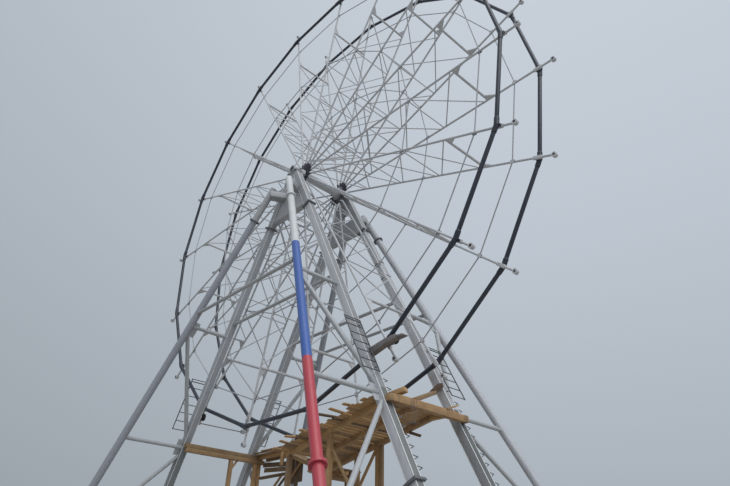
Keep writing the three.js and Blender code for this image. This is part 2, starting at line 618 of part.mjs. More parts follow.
// The deck: boards on two bearers of their own, narrowed to a tongue between the right legs
function deckSolid() {
  const plan = new THREE.Shape(DECK_PLAN.map(([x, y]) => new THREE.Vector2(x, y)));
  const outline = solidOf(new THREE.ExtrudeGeometry(plan, { depth: HUB_HEIGHT, bevelEnabled: false }));
  const reach = HUB_HEIGHT / 2;
  const boards = followingDeck(-reach, reach, 0, BOARD, -reach, reach);
  return join([boards.intersect(outline), ...[MIDDLE_ROW, WALKWAY_ROW].map((row) => bearer(row, BOARD / 2))]);
}
addMesh("timber_deck", deckSolid(), timber);

// A row of posts under a bearer, with a knee brace to the right of some posts
function trestle(row) {
  const inBearer = (x) => deckUnder(x) - BEARER_HALF;
  const knee = (x) => {
    const low = V(x, row.y, inBearer(x) - KNEE.drop);
    return bar(low, V(x + KNEE.spread, row.y, inBearer(x + KNEE.spread)), KNEE.half, ROD_SIDES);
  };
  const posts = row.posts.map((x) => post(x, row.y, inBearer(x)));
  return join([bearer(row, -SEAT_GAP), ...posts, ...row.knees.map(knee)]);
}
addMesh("trestle_near", trestle(NEAR_ROW), timber);

// The two far rows stand together: a cross timber between their middle posts joins them
const tieTop = DECK_FLOOR.height - 2 * BEARER_HALF - SEAT_GAP;
const rowTie = block(-POST_HALF, FAR_ROW.y, tieTop - 2 * POST_HALF, POST_HALF, REAR_ROW.y, tieTop);
addMesh("trestle_far", join([trestle(FAR_ROW), trestle(REAR_ROW), rowTie]), timber);

export default model;
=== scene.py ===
# The looks of a fairground ferris wheel under assembly: eighteen lattice spokes between two dark rims,
# on box legs and raker struts, with a rough timber staging under the wheel. Metres, +Z up, the origin
# on the ground under the hub, the hub's shaft along Y.
import math
import random

import bmesh
import bpy
from mathutils import Matrix, Vector


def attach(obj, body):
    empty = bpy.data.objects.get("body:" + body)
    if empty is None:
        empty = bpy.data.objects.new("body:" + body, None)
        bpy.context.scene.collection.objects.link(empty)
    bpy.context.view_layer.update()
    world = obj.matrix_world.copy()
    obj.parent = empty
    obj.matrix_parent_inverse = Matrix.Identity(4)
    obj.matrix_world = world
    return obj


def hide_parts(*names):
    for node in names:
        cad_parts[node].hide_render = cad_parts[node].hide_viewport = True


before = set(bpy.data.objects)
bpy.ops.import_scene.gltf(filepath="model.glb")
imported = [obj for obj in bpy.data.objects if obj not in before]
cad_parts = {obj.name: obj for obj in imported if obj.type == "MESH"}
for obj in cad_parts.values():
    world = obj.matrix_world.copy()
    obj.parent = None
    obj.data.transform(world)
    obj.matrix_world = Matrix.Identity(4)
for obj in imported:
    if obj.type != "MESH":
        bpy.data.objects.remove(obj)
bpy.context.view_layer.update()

# Camera: low on the near right side of the wheel, looking up and to the left past the near bearing.
HUB = Vector((0, 0, 19.5))
EYE = Vector((19.529, -14.604, 1.584))
LOOK_AZIMUTH = math.radians(-48.279)
LOOK_UP = math.radians(34.324)
LOOK_ROLL = math.radians(1.836)
LENS = {"sensor_width": 36, "lens": 27.757, "shift_x": 0.0071, "shift_y": -0.0502, "clip_end": 1000}

level = Vector((math.cos(LOOK_AZIMUTH), -math.sin(LOOK_AZIMUTH), 0))
ahead = Vector((math.sin(LOOK_AZIMUTH), math.cos(LOOK_AZIMUTH), 0)) * math.cos(LOOK_UP)
ahead.z = math.sin(LOOK_UP)
right = level * math.cos(LOOK_ROLL) + level.cross(ahead) * math.sin(LOOK_ROLL)
look = Matrix((right, right.cross(ahead), -ahead)).transposed().to_4x4()
camera_data = bpy.data.cameras.new("camera")
for setting, value in LENS.items():
    setattr(camera_data, setting, value)
camera = bpy.data.objects.new("camera", camera_data)
camera.matrix_world = Matrix.Translation(EYE) @ look
bpy.context.scene.collection.objects.link(camera)
bpy.context.scene.camera = camera

# Sky: a soft overcast dome, darker and bluer low down and towards the left of the view, brightest
# overhead, with a wide weak sun behind the clouds.
SKY_TONES = [(0.0, (0.36, 0.405, 0.45)), (0.17, (0.42, 0.47, 0.52)), (0.5, (0.51, 0.565, 0.63)),
             (0.84, (0.58, 0.635, 0.705)), (1.0, (1.0, 1.0, 1.0))]
DIM_SIDE = {"From_Min": -0.55, "From_Max": 0.2, "To_Min": 0.82}
SUN_STRENGTH, SUN_WIDTH = 1.9, math.radians(60)
SUN_WAY = Vector((-0.62, 0.18, -0.76))


def set_up(tree, made, **settings):
    """Sets a node up: a name in lower case is one of its properties, i0 or i1 an input by its number, and
    any other an input by its name. An output is linked to the input, anything else is its value."""
    for key, value in settings.items():
        if key[0].islower() and not key[1:].isdigit():
            setattr(made, key, value)
            continue
        place = made.inputs[int(key[1:]) if key[1:].isdigit() else key.replace("_", " ")]
        if isinstance(value, bpy.types.NodeSocket):
            tree.links.new(value, place)
        else:
            place.default_value = value


def node(tree, kind, output=0, **settings):
    """Adds a node, sets it up and gives one of its outputs."""
    made = tree.nodes.new("ShaderNode" + kind)
    set_up(tree, made, **settings)
    return made.outputs[output]


world = bpy.data.worlds.new("overcast")
bpy.context.scene.world = world
bpy.context.scene.view_settings.view_transform = "Standard"
world.use_nodes = True
sky = world.node_tree
direction = node(sky, "TexCoord", "Generated")
height = node(sky, "SeparateXYZ", "Z", i0=direction)
tones = node(sky, "ValToRGB", Fac=height)
sideways = node(sky, "VectorMath", "Value", operation="DOT_PRODUCT", i0=direction, i1=level)
dimming = node(sky, "MapRange", Value=sideways, **DIM_SIDE)
set_up(sky, sky.nodes["Background"], Color=tones, Strength=dimming)
stops = tones.node.color_ramp.elements
while len(stops) < len(SKY_TONES):
    stops.new(0.5)
for stop, (place, tone) in zip(stops, SKY_TONES):
    stop.position = place
    stop.color = (*tone, 1)

sun_data = bpy.data.lights.new("cloudy_sun", "SUN")
sun_data.energy = SUN_STRENGTH
sun_data.angle = SUN_WIDTH
sun = bpy.data.objects.new("cloudy_sun", sun_data)
sun.rotation_euler = SUN_WAY.to_track_quat("-Z", "Y").to_euler()
bpy.context.scene.collection.objects.link(sun)

# Floor: a wide pale level ground, which also throws light up under the staging.
FLOOR_RADIUS = 300
FLOOR_DROP = 0.004


def new_finish(name):
    """A new finish and its node tree."""
    finish = bpy.data.materials.new(name)
    finish.use_nodes = True
    return finish, finish.node_tree


def surface(tree, **settings):
    """Sets up the shader of a finish."""
    set_up(tree, tree.nodes["Principled BSDF"], **settings)


def new_object(name, bm, finishes):
    """Makes the mesh an object of the scene with its finishes in order."""
    mesh = bpy.data.meshes.new(name)
    bm.to_mesh(mesh)
    bm.free()
    for finish in finishes:
        mesh.materials.append(finish)
    made = bpy.data.objects.new(name, mesh)
    bpy.context.scene.collection.objects.link(made)
    return made


floor_finish, floor_tree = new_finish("pale_floor")
surface(floor_tree, Base_Color=(0.36, 0.35, 0.33, 1), Roughness=0.9)
floor_bm = bmesh.new()
bmesh.ops.create_circle(floor_bm, cap_ends=True, segments=64, radius=FLOOR_RADIUS)
bmesh.ops.translate(floor_bm, verts=floor_bm.verts, vec=(0, 0, -FLOOR_DROP))
floor = new_object("floor", floor_bm, [floor_finish])

# Spoke frames: eighteen flat lattices, each of two round steel chords with cross tubes and crossed web
# bars welded between them, painted pale grey. A thick tube near the rim stands on pronged plates, and a
# short tube at each tip holds one side of a cabin. The chords' flat ends are bolted to the hub flanges.
UP, AXIS, OUT = Vector((0, 0, 1)), Vector((0, 1, 0)), Vector((1, 0, 0))
SPOKES = 18
SPOKE_STEP = math.tau / SPOKES
RIM_RADIUS = 12.5
CHORD_Y = 1.222
CHORD = {"start": 0.47, "end": 13.169, "radius": 0.047}
CHORD_ROOT = {"start": 0.44, "end": 0.67, "radius": 0.04935, "end_radius": 0.0611}
CROSS_TUBES = [(0.2, 0.027), (0.4, 0.027), (0.6, 0.027), (0.8, 0.058)]
WEB_BAR = {"radius": 0.027, "setback": 0.13, "lift": 0.018, "first": 0.82}
PRONG = {"back": 0.04, "reach": 0.48, "depth": 0.33, "thickness": 0.048}
SOCKET = {"at": 13.2, "y": 1.243, "half": 0.08, "radius": 0.1, "bore": 0.05}
LUG = {"start": 0.3, "end": 0.62, "width": 0.084, "thickness": 0.02, "bolts": (0.34, 0.4, 0.54)}
SADDLE = {"half": 0.19, "width": 0.15, "depth": 0.0884}
OUTER_TIES = 0.911
TIE_SEAT = {"half": 0.09, "inset": 0.055, "width": 0.16, "thickness": 0.014}
FLANGE_FACE = 0.042
SMOOTH_BELOW = math.radians(50)


def tube(bm, start, end, radius, sides=12, end_radius=None):
    """A closed round bar from start to end."""
    start, end = Vector(start), Vector(end)
    turn = UP.rotation_difference(end - start).to_matrix().to_4x4()
    bmesh.ops.create_cone(
        bm, cap_ends=True, segments=sides, radius1=radius,
        radius2=radius if end_radius is None else end_radius, depth=(end - start).length,
        matrix=Matrix.Translation((start + end) / 2) @ turn)


def facing(start, end, towards):
    """A matrix that turns local Z to the line from start to end and local Y as near as it can to towards."""
    along = (Vector(end) - Vector(start)).normalized()
    side = Vector(towards).cross(along).normalized()
    return Matrix((side, along.cross(side), along)).transposed().to_4x4()


def round_edges(bm, edges, offset):
    bmesh.ops.bevel(bm, geom=edges, offset=offset, segments=2, profile=0.5, affect="EDGES", material=-1)


def bar(bm, start, end, width, depth, towards=AXIS, edge=0.004):
    """A box section from start to end with rounded edges: depth lies along towards, width across it."""
    start, end = Vector(start), Vector(end)
    place = Matrix.Translation((start + end) / 2) @ facing(start, end, towards)
    size = Matrix.Diagonal((width, depth, (end - start).length, 1))
    made = bmesh.ops.create_cube(bm, size=1, matrix=place @ size)
    if edge:
        round_edges(bm, list({e for v in made["verts"] for e in v.link_edges}), edge)


def bar_about(bm, centre, half, *section, edge=0.004):
    """A bar that reaches as far as half to both sides of its centre."""
    bar(bm, Vector(centre) - half, Vector(centre) + half, *section, edge=edge)


def plate(bm, corners, thickness):
    """A flat plate with the given corners, thick to both sides."""
    face = bm.faces.new([bm.verts.new(c) for c in corners])
    face.normal_update()
    normal = face.normal.copy()
    bmesh.ops.translate(bm, verts=face.verts, vec=-normal * thickness / 2)
    raised = bmesh.ops.extrude_face_region(bm, geom=[face], use_keep_orig=True)
    tops = [v for v in raised["geom"] if isinstance(v, bmesh.types.BMVert)]
    bmesh.ops.translate(bm, verts=tops, vec=normal * thickness)
    bmesh.ops.reverse_faces(bm, faces=[face])


def bolt(bm, at, axis, radius=0.014, height=0.018, washer=True):
    """A hexagon head on its washer, standing on a surface at a point."""
    at, axis = Vector(at), Vector(axis).normalized()
    if washer:
        tube(bm, at - axis * 0.004, at + axis * 0.003, radius * 1.45, 12)
    tube(bm, at, at + axis * height, radius, 6)


def merge_part(bm, part, finish):
    """Moves a part into a piece's mesh and gives all of its faces the numbered finish."""
    for f in part.faces:
        f.material_index = finish
    mesh = bpy.data.meshes.new("part")
    part.to_mesh(mesh)
    part.free()
    bm.from_mesh(mesh)
    bpy.data.meshes.remove(mesh)


def finish_piece(name, bm, finishes, body, slot, *nodes):
    """Makes the mesh an object that rides on a body and stands for the named CAD nodes."""
    for e in bm.edges:
        e.smooth = e.calc_face_angle(0) < SMOOTH_BELOW
    for f in bm.faces:
        f.smooth = True
    piece = new_object(name, bm, finishes)
    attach(piece, body)
    if nodes:
        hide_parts(*nodes)


def blend_colours(tree, share, first, second):
    """The first colour where share is 0 and the second where it is 1."""
    first, second = (c if isinstance(c, bpy.types.NodeSocket) else (*c, 1) for c in (first, second))
    return node(tree, "Mix", 2, data_type="RGBA", i0=share, i6=first, i7=second)


def painted_steel(name, colour, grime, roughness=0.5, wear=0.35, metallic=0.0):
    """Brushed or sprayed paint on steel, with rain streaks, dust and thin scuffs."""
    material, tree = new_finish(name)
    place = node(tree, "TexCoord", "Object")
    clouds = node(tree, "TexNoise", Vector=place, Scale=0.9, Detail=5.0, Roughness=0.6)
    runs_at = node(tree, "Mapping", Vector=place, Scale=(9.0, 9.0, 0.7))
    runs = node(tree, "TexNoise", Vector=runs_at, Scale=1.6, Detail=4.0, Roughness=0.65)
    specks = node(tree, "TexNoise", Vector=place, Scale=38.0, Detail=3.0, Roughness=0.7)
    dirt = node(tree, "Math", operation="MULTIPLY", i0=clouds, i1=runs)
    streaks = node(tree, "MapRange", Value=dirt, From_Min=0.16, From_Max=0.42, To_Max=wear)
    spots = node(tree, "MapRange", Value=specks, From_Min=0.62, From_Max=0.75, To_Max=wear * 0.6)
    share = node(tree, "Math", operation="ADD", use_clamp=True, i0=streaks, i1=spots)
    sheen = node(tree, "MapRange", Value=runs, To_Min=roughness - 0.12, To_Max=roughness + 0.16)
    ripple = node(tree, "Bump", Height=specks, Strength=0.12, Distance=0.004)
    surface(tree, Base_Color=blend_colours(tree, share, colour, grime), Roughness=sheen,
            Metallic=metallic, Normal=ripple)
    return material


def about_hub(step):
    """Turns a piece made along +X at the hub by a number of spokes towards +Z, and lifts it to the hub."""
    return Matrix.Translation(HUB) @ Matrix.Rotation(-step * SPOKE_STEP, 4, "Y")


spoke_paint = painted_steel("spoke_paint", (0.52, 0.53, 0.55), (0.24, 0.245, 0.25), 0.42)
# Near black for the cabin sockets' bores and the shaft ends inside the bearing housings: painted shade
bore_shade_paint = painted_steel("bore_shade_paint", (0.03, 0.032, 0.036), (0.08, 0.075, 0.07), 0.35)
# Near black for the hub flanges and the spokes' lugs and chord roots, as painted shade among the flanges, and
# for the socket rod's taped ends
flange_shade_and_tape_paint = painted_steel("flange_shade_and_tape_paint", (0.055, 0.052, 0.066), (0.035, 0.034, 0.04), 0.45)

spoke_bm, lugs_bm = bmesh.new(), bmesh.new()
rod_seat, prong_x = OUTER_TIES * RIM_RADIUS, CROSS_TUBES[-1][0] * RIM_RADIUS
for side in (-1, 1):
    y = side * CHORD_Y
    tube(spoke_bm, (CHORD["start"], y, 0), (CHORD["end"], y, 0), CHORD["radius"], 14)
    lug_y = y + side * (FLANGE_FACE + LUG["thickness"] / 2)
    bar(lugs_bm, (LUG["start"], lug_y, 0), (LUG["end"], lug_y, 0), LUG["width"], LUG["thickness"],
        AXIS * side)
    for x in LUG["bolts"]:
        bolt(lugs_bm, (x, lug_y + side * LUG["thickness"] / 2, 0), AXIS * side, height=0.016)
    tube(lugs_bm, (CHORD_ROOT["start"], y, 0), (CHORD_ROOT["end"], y, 0), CHORD_ROOT["radius"], 14,
         CHORD_ROOT["end_radius"])
    bar_about(spoke_bm, (RIM_RADIUS, y, 0), OUT * SADDLE["half"], SADDLE["width"], SADDLE["depth"],
              edge=0.012)
    bar_about(spoke_bm, (rod_seat, y - side * TIE_SEAT["inset"], 0), OUT * TIE_SEAT["half"],
              TIE_SEAT["width"], TIE_SEAT["thickness"], edge=0)
    # The cabin socket: a short tube with an open bore, its bore and end rings near black as painted shade
    ring = bmesh.ops.create_circle(
        spoke_bm, segments=20, radius=SOCKET["radius"],
        matrix=Matrix.Translation((SOCKET["at"], side * (SOCKET["y"] - SOCKET["half"]), 0))
        @ Matrix.Rotation(math.pi / 2, 4, "X"))
    ring_edges = list({e for v in ring["verts"] for e in v.link_edges})
    shell = bmesh.ops.extrude_edge_only(spoke_bm, edges=ring_edges)
    far_verts = [v for v in shell["geom"] if isinstance(v, bmesh.types.BMVert)]
    bmesh.ops.translate(spoke_bm, verts=far_verts, vec=AXIS * side * SOCKET["half"] * 2)
    walls = [f for f in shell["geom"] if isinstance(f, bmesh.types.BMFace)]
    bmesh.ops.recalc_face_normals(spoke_bm, faces=walls)
    middle = Vector((SOCKET["at"], side * SOCKET["y"], 0))
    if (walls[0].calc_center_median() - middle).dot(walls[0].normal) < 0:
        bmesh.ops.reverse_faces(spoke_bm, faces=walls)
    inner = bmesh.ops.solidify(spoke_bm, geom=walls, thickness=SOCKET["radius"] - SOCKET["bore"])
    for f in inner["geom"]:
        if isinstance(f, bmesh.types.BMFace):
            f.material_index = 1

for at, radius in CROSS_TUBES:
    tube(spoke_bm, (at * RIM_RADIUS, -CHORD_Y, 0), (at * RIM_RADIUS, CHORD_Y, 0), radius, 10)
for (inner_at, _), (outer_at, _) in zip(CROSS_TUBES, CROSS_TUBES[1:]):
    inner_x, outer_x = inner_at * RIM_RADIUS + WEB_BAR["setback"], outer_at * RIM_RADIUS - WEB_BAR["setback"]
    for side in (-1, 1):
        y, lift = side * CHORD_Y, side * WEB_BAR["lift"]
        tube(spoke_bm, (inner_x, y, lift), (outer_x, -y, lift), WEB_BAR["radius"], 8)
first_x = CROSS_TUBES[0][0] * RIM_RADIUS - WEB_BAR["setback"]
tube(spoke_bm, (WEB_BAR["first"], -CHORD_Y, 0), (first_x, CHORD_Y, 0), WEB_BAR["radius"], 8)
back, reach, root_y = prong_x - PRONG["back"], prong_x + PRONG["reach"], CHORD_Y - PRONG["depth"]
for side in (-1, 1):
    corners = [(back, root_y), (prong_x + PRONG["back"], root_y), (reach, CHORD_Y), (back, CHORD_Y)]
    plate(spoke_bm, [(x, side * y, 0) for x, y in corners[::side]], PRONG["thickness"])
# The lugs and chord roots are near black: painted shade among the hub flanges
merge_part(spoke_bm, lugs_bm, 2)

for i in range(SPOKES):
    copy = spoke_bm.copy()
    bmesh.ops.transform(copy, matrix=about_hub(i), verts=copy.verts)
    number = f"{i + 1:02d}"
    finish_piece("spoke_lattice_" + number, copy, [spoke_paint, bore_shade_paint, flange_shade_and_tape_paint], "wheel",
                 "steel", "spoke_frame_" + number)
spoke_bm.free()

# Socket rod: a bare round steel rod with dark taped ends, pushed through both cabin sockets of the spoke
# at the lower left, where it lies on the floor of their bores.
ROD = {"spoke": 12, "radius": 0.028, "bare_radius": 0.025, "half": 1.42, "bare_half": 1.18}

rod_steel = painted_steel("rod_steel", (0.3, 0.3, 0.31), (0.14, 0.13, 0.12), 0.4, 0.5, 0.4)
rod_bm, rod_ends_bm = bmesh.new(), bmesh.new()
rod_at = about_hub(ROD["spoke"]) @ Vector((SOCKET["at"], 0, 0)) - UP * (SOCKET["bore"] - ROD["radius"])
rod_out, rod_in = AXIS * ROD["half"], AXIS * ROD["bare_half"]
tube(rod_bm, rod_at - rod_in, rod_at + rod_in, ROD["bare_radius"])
for way in (-1, 1):
    tube(rod_ends_bm, rod_at + rod_in * way, rod_at + rod_out * way, ROD["radius"])
merge_part(rod_bm, rod_ends_bm, 1)
finish_piece("socket_rod", rod_bm, [rod_steel, flange_shade_and_tape_paint], "wheel", "steel")

# Tie rods: thin round steel rods between the chords of neighbouring spokes, in one ring near each rim and one
# further in on each side. They are pinned to dark plates clamped on the chords.
TIE = {"radius": 0.026, "inset": 0.028}
TIE_RINGS = [(-1, OUTER_TIES), (1, OUTER_TIES), (-1, 0.6), (1, 0.52)]
NODE_PLATE = {"half": 0.1, "across": 0.14, "thick": 0.02}
PIN = {"at": 0.1, "half": 0.03, "radius": 0.016}


def round_wheel(radius, y):
    """The points of a ring, one at each spoke, each with its way out from the shaft and its neighbours."""
    ring = [about_hub(i) @ Vector((radius, y, 0)) for i in range(SPOKES)]
    return [(here, (here - HUB - AXIS * y).normalized(), ring[i - 1], ring[(i + 1) % SPOKES])
            for i, here in enumerate(ring)]


rod_paint = painted_steel("rod_paint", (0.4, 0.41, 0.43), (0.16, 0.16, 0.17), 0.45)
plate_paint = painted_steel("plate_paint", (0.16, 0.17, 0.19), (0.07, 0.07, 0.075), 0.5)
rods_bm, plates_bm = bmesh.new(), bmesh.new()
for side, at in TIE_RINGS:
    for here, out, previous, following in round_wheel(at * RIM_RADIUS, side * (CHORD_Y - TIE["inset"])):
        tube(rods_bm, here, following, TIE["radius"], 8)
        bar_about(plates_bm, here, out * NODE_PLATE["half"], NODE_PLATE["across"], NODE_PLATE["thick"],
                  edge=0.003)
        for neighbour in (previous, following):
            pin = here + (neighbour - here).normalized() * PIN["at"]
            tube(plates_bm, pin - AXIS * PIN["half"], pin + AXIS * PIN["half"], PIN["radius"], 8)
finish_piece("tie_rods", rods_bm, [rod_paint], "wheel", "steel")
finish_piece("tie_rod_plates", plates_bm, [plate_paint], "wheel", "steel")

# Rims: two rings of dark painted round steel tube, straight between the spokes, with a thick welded sleeve at
# each corner. Two straps across each corner clamp it to its chord.
RIM_TUBE = 0.084
RIM_Y = 1.3643
SLEEVE = {"radius": 0.1, "reach": 0.3, "overlap": 0.018, "taper": 0.03}
STRAP = {"apart": 0.12, "inset": 0.09, "half": 0.05, "thickness": 0.03, "depth": 0.16}

rim_paint = painted_steel("rim_paint", (0.02, 0.026, 0.042), (0.07, 0.075, 0.085), 0.38, 0.3)

for rim_name, side in (("near_rim", -1), ("far_rim", 1)):
    rim_bm = bmesh.new()
    section = bmesh.ops.create_circle(
        rim_bm, segments=20, radius=RIM_TUBE,
        matrix=Matrix.Translation(HUB + Vector((RIM_RADIUS, side * RIM_Y, 0))))["verts"]
    bmesh.ops.spin(
        rim_bm, geom=list({e for v in section for e in v.link_edges}), cent=HUB, axis=AXIS, steps=SPOKES,
        angle=math.tau, use_merge=True)
    bmesh.ops.recalc_face_normals(rim_bm, faces=rim_bm.faces)
    for corner, out, *neighbours in round_wheel(RIM_RADIUS, side * RIM_Y):
        for neighbour in neighbours:
            along = (neighbour - corner).normalized()
            sleeve_end = corner + along * SLEEVE["reach"]
            tube(rim_bm, corner - along * SLEEVE["overlap"], sleeve_end, SLEEVE["radius"], 20)
            tube(rim_bm, sleeve_end, sleeve_end + along * SLEEVE["taper"], SLEEVE["radius"], 20, RIM_TUBE)
        half = out.cross(AXIS) * STRAP["half"]
        for apart in (-STRAP["apart"], STRAP["apart"]):
            strap = corner + out * apart - AXIS * side * STRAP["inset"]
            bar_about(rim_bm, strap, half, STRAP["thickness"], STRAP["depth"], edge=0.003)
    arcs = [f"{rim_name}_arc_{n}" for n in (1, 2, 3)]
    finish_piece(rim_name + "_ring", rim_bm, [rim_paint], "wheel", "rim_paint", *arcs)

# Hub: a welded drum of rolled plate with two flanges that the chords are bolted to, gusset plates
# between drum and flanges, and the forged shaft that turns in the two bearings.
SHAFT_RADIUS, SHAFT_END = 0.141, 1.96
DRUM_RADIUS, DRUM_END = 0.236, 1.42
FLANGE_RADIUS = 0.434
CHAMFER, WELD, ROUNDING = 0.012, 0.012, 0.005
HUB_GUSSET = {"inner": 0.226, "outer": 0.394, "tip": 0.03, "reach": 0.17, "thickness": 0.012}


def lathe(bm, centre, outline, steps, closed=True):
    """Spins an outline of (radius, place along the shaft) points about a centre."""
    line = [bm.verts.new(centre + Vector((0, y, r))) for r, y in outline]
    edges = [bm.edges.new(pair) for pair in zip(line, line[1:] + line[:1] if closed else line[1:])]
    bmesh.ops.spin(bm, geom=line + edges, cent=centre, axis=AXIS, steps=steps, angle=math.tau, use_merge=True)
    bmesh.ops.remove_doubles(bm, verts=bm.verts, dist=1e-5)
    bmesh.ops.recalc_face_normals(bm, faces=bm.faces)


shaft_steel = painted_steel("shaft_steel", (0.4, 0.4, 0.41), (0.2, 0.19, 0.18), 0.32, 0.3, 0.7)
hub_bm = bmesh.new()
shaft_line = [(0, -SHAFT_END), (SHAFT_RADIUS - CHAMFER, -SHAFT_END), (SHAFT_RADIUS, -SHAFT_END + CHAMFER),
              (SHAFT_RADIUS, -DRUM_END), (DRUM_RADIUS - 0.01, -DRUM_END), (DRUM_RADIUS, -DRUM_END + 0.01)]
profile = list(shaft_line)
for centre in (-CHORD_Y, CHORD_Y):
    low, high = centre - FLANGE_FACE, centre + FLANGE_FACE
    profile += [(DRUM_RADIUS, low - WELD), (DRUM_RADIUS + WELD, low), (FLANGE_RADIUS - ROUNDING, low),
                (FLANGE_RADIUS, low + ROUNDING), (FLANGE_RADIUS, high - ROUNDING),
                (FLANGE_RADIUS - ROUNDING, high), (DRUM_RADIUS + WELD, high), (DRUM_RADIUS, high + WELD)]
profile += [(r, -y) for r, y in reversed(shaft_line)]
lathe(hub_bm, HUB, profile, 54, closed=False)
for f in hub_bm.faces:
    out = abs(f.calc_center_median().y)
    # The shaft ends sit inside the housings' bores and are near black: painted shade
    if out > SHAFT_END - CHAMFER / 2:
        f.material_index = 3
    elif out > DRUM_END:
        f.material_index = 1
    # The flange faces are near black: painted shade between the flanges
    elif abs(out - CHORD_Y) < FLANGE_FACE + 0.002:
        f.material_index = 2
inner, outer = HUB_GUSSET["inner"], HUB_GUSSET["outer"]
for i in range(SPOKES):
    for side in (-1, 1):
        y = side * (CHORD_Y - FLANGE_FACE)
        corners = [(inner, y, 0), (outer, y, 0), (outer, y - side * HUB_GUSSET["tip"], 0),
                   (inner, y - side * HUB_GUSSET["reach"], 0)]
        plate(hub_bm, [about_hub(i + 0.5) @ Vector(c) for c in corners], HUB_GUSSET["thickness"])
finish_piece("hub_drum", hub_bm, [spoke_paint, shaft_steel, flange_shade_and_tape_paint, bore_shade_paint], "wheel", "steel",
             "wheel_hub")

# Bearing heads: at each apex a bored housing of cast steel on the flat top of a frame of two box leg
# stubs and two web plates with a square window. Two raker stubs stand off on box elbows.
LEG_TOP, LEG_FOOT = Vector((0.045, 1.752, 0)), Vector((9.951, 1.857, 0))
RAKER_TOP, RAKER_FOOT = Vector((0, 2.232, 0)), Vector((9.93, 6.106, 0))
LEG_WIDTH, LEG_DEPTH = 0.34, 0.3
LEG_CUT_HALF = LEG_WIDTH / 2 * 1.122  # half the width of a level cut through a leg
RAKER_RADIUS = 0.16
HOUSING = {"near": 1.56, "far": 1.98, "radius": 0.195, "bore": 0.144, "chamfer": 0.008, "bolts": 0.17}
CAP = {"thickness": 0.025, "lip": 0.03}
CLAW = {"x": 0.3, "width": 0.16, "height": 0.05, "stud": 0.12, "stud_radius": 0.03, "nut": 0.045}
FRAME_TOP = 0.25
UPPER_SPLICE, LOWER_SPLICE = 2.94, 15.4
RAKER_STUB_START = 1.25
ELBOW = {"drop": 1.59, "height": 0.32, "width": 0.46, "root": 0.45}
SPLICE = {"thickness": 0.04, "lip": 0.085, "gap": 0.001, "bolts": 0.045}
SEAM = {"radius": 0.015, "inset": 0.006, "short": 0.03}
WEB = {"bottom": 2.8, "thickness": 0.016, "apart": 0.11, "lining": 0.012, "sill": 0.03, "sill_depth": 0.28}
WINDOW = {"top": 1.18, "bottom": 1.82, "left": -0.12, "right": 0.6}
# Each panel of a web plate: its upper and lower drop, its left and right edge, where 1 is a leg's middle
WEB_PANELS = [(FRAME_TOP, WINDOW["top"], -1, 1), (WINDOW["top"], WINDOW["bottom"], -1, WINDOW["left"]),
              (WINDOW["top"], WINDOW["bottom"], WINDOW["right"], 1), (WINDOW["bottom"], WEB["bottom"], -1, 1)]
EDGE_STRIP = {"short": 0.25, "up": 0.13, "off": 0.02, "height": 0.2, "thickness": 0.02}
CORNERS = {"near_left": (-1, -1), "near_right": (1, -1), "far_left": (-1, 1), "far_right": (1, 1)}

frame_paint = painted_steel("frame_paint", (0.37, 0.38, 0.395), (0.17, 0.17, 0.17), 0.45)
flange_paint = painted_steel("flange_paint", (0.13, 0.135, 0.145), (0.06, 0.06, 0.065), 0.5)
white_paint = painted_steel("white_paint", (0.59, 0.61, 0.62), (0.31, 0.31, 0.3), 0.4)
# Light paint on the leg seams: a painted highlight along the legs' corners
seam_highlight_paint = painted_steel("seam_highlight_paint", (0.72, 0.73, 0.74), (0.5, 0.5, 0.5), 0.35)


def on_line(top, foot, sides, drop):
    """The point at a drop below the hub on a member's centre line, mirrored to one of the four corners."""
    point = top.lerp(foot, drop / HUB.z)
    return Vector((sides[0] * point.x, sides[1] * point.y, HUB.z - drop))


def leg_at(sides, drop):
    return on_line(LEG_TOP, LEG_FOOT, sides, drop)


def raker_at(sides, drop):
    return on_line(RAKER_TOP, RAKER_FOOT, sides, drop)


def bolt_ring(bm, centre, along, radius, count, size, height, towards=AXIS, washer=True):
    """A ring of bolts that stand on a round face."""
    turn = facing(centre, centre + along, towards)
    for i in range(count):
        angle = i * math.tau / count
        spot = centre + turn @ (Vector((math.cos(angle), math.sin(angle), 0)) * radius)
        bolt(bm, spot, along, size, height, washer)


def splice_at(at_corner, sides, drop):
    """Where a splice plate starts and ends, and its way, on the side that the drop's sign points to."""
    at = at_corner(sides, abs(drop))
    way = (at_corner(sides, abs(drop) + 1) - at).normalized() * math.copysign(1, drop)
    return at + way * SPLICE["gap"], at + way * (SPLICE["gap"] + SPLICE["thickness"]), way


def square_flange(bm, sides, drop):
    """One plate of a box leg's splice with bolts all round."""
    start, end, way = splice_at(leg_at, sides, drop)
    bar(bm, start, end, LEG_WIDTH + 2 * SPLICE["lip"], LEG_DEPTH + 2 * SPLICE["lip"])
    turn = facing(start, end, AXIS)
    wide, deep_row = LEG_WIDTH / 2 + SPLICE["bolts"], LEG_DEPTH / 2 + SPLICE["bolts"]
    places = [(across * wide, deep) for across in (-1, -0.5, 0, 0.5, 1) for deep in (-deep_row, deep_row)]
    places += [(across, deep * deep_row) for across in (-wide, wide) for deep in (-0.5, 0, 0.5)]
    for across, deep in places:
        bolt(bm, end + turn @ Vector((across, deep, 0)), way, height=0.02)


def round_flange(bm, sides, drop):
    """A round collar of a raker's splice with its ring of bolts."""
    start, end, way = splice_at(raker_at, sides, drop)
    tube(bm, start, end, RAKER_RADIUS + SPLICE["lip"], 28)
    bolt_ring(bm, end, way, RAKER_RADIUS + SPLICE["bolts"], 10, 0.013, 0.02)


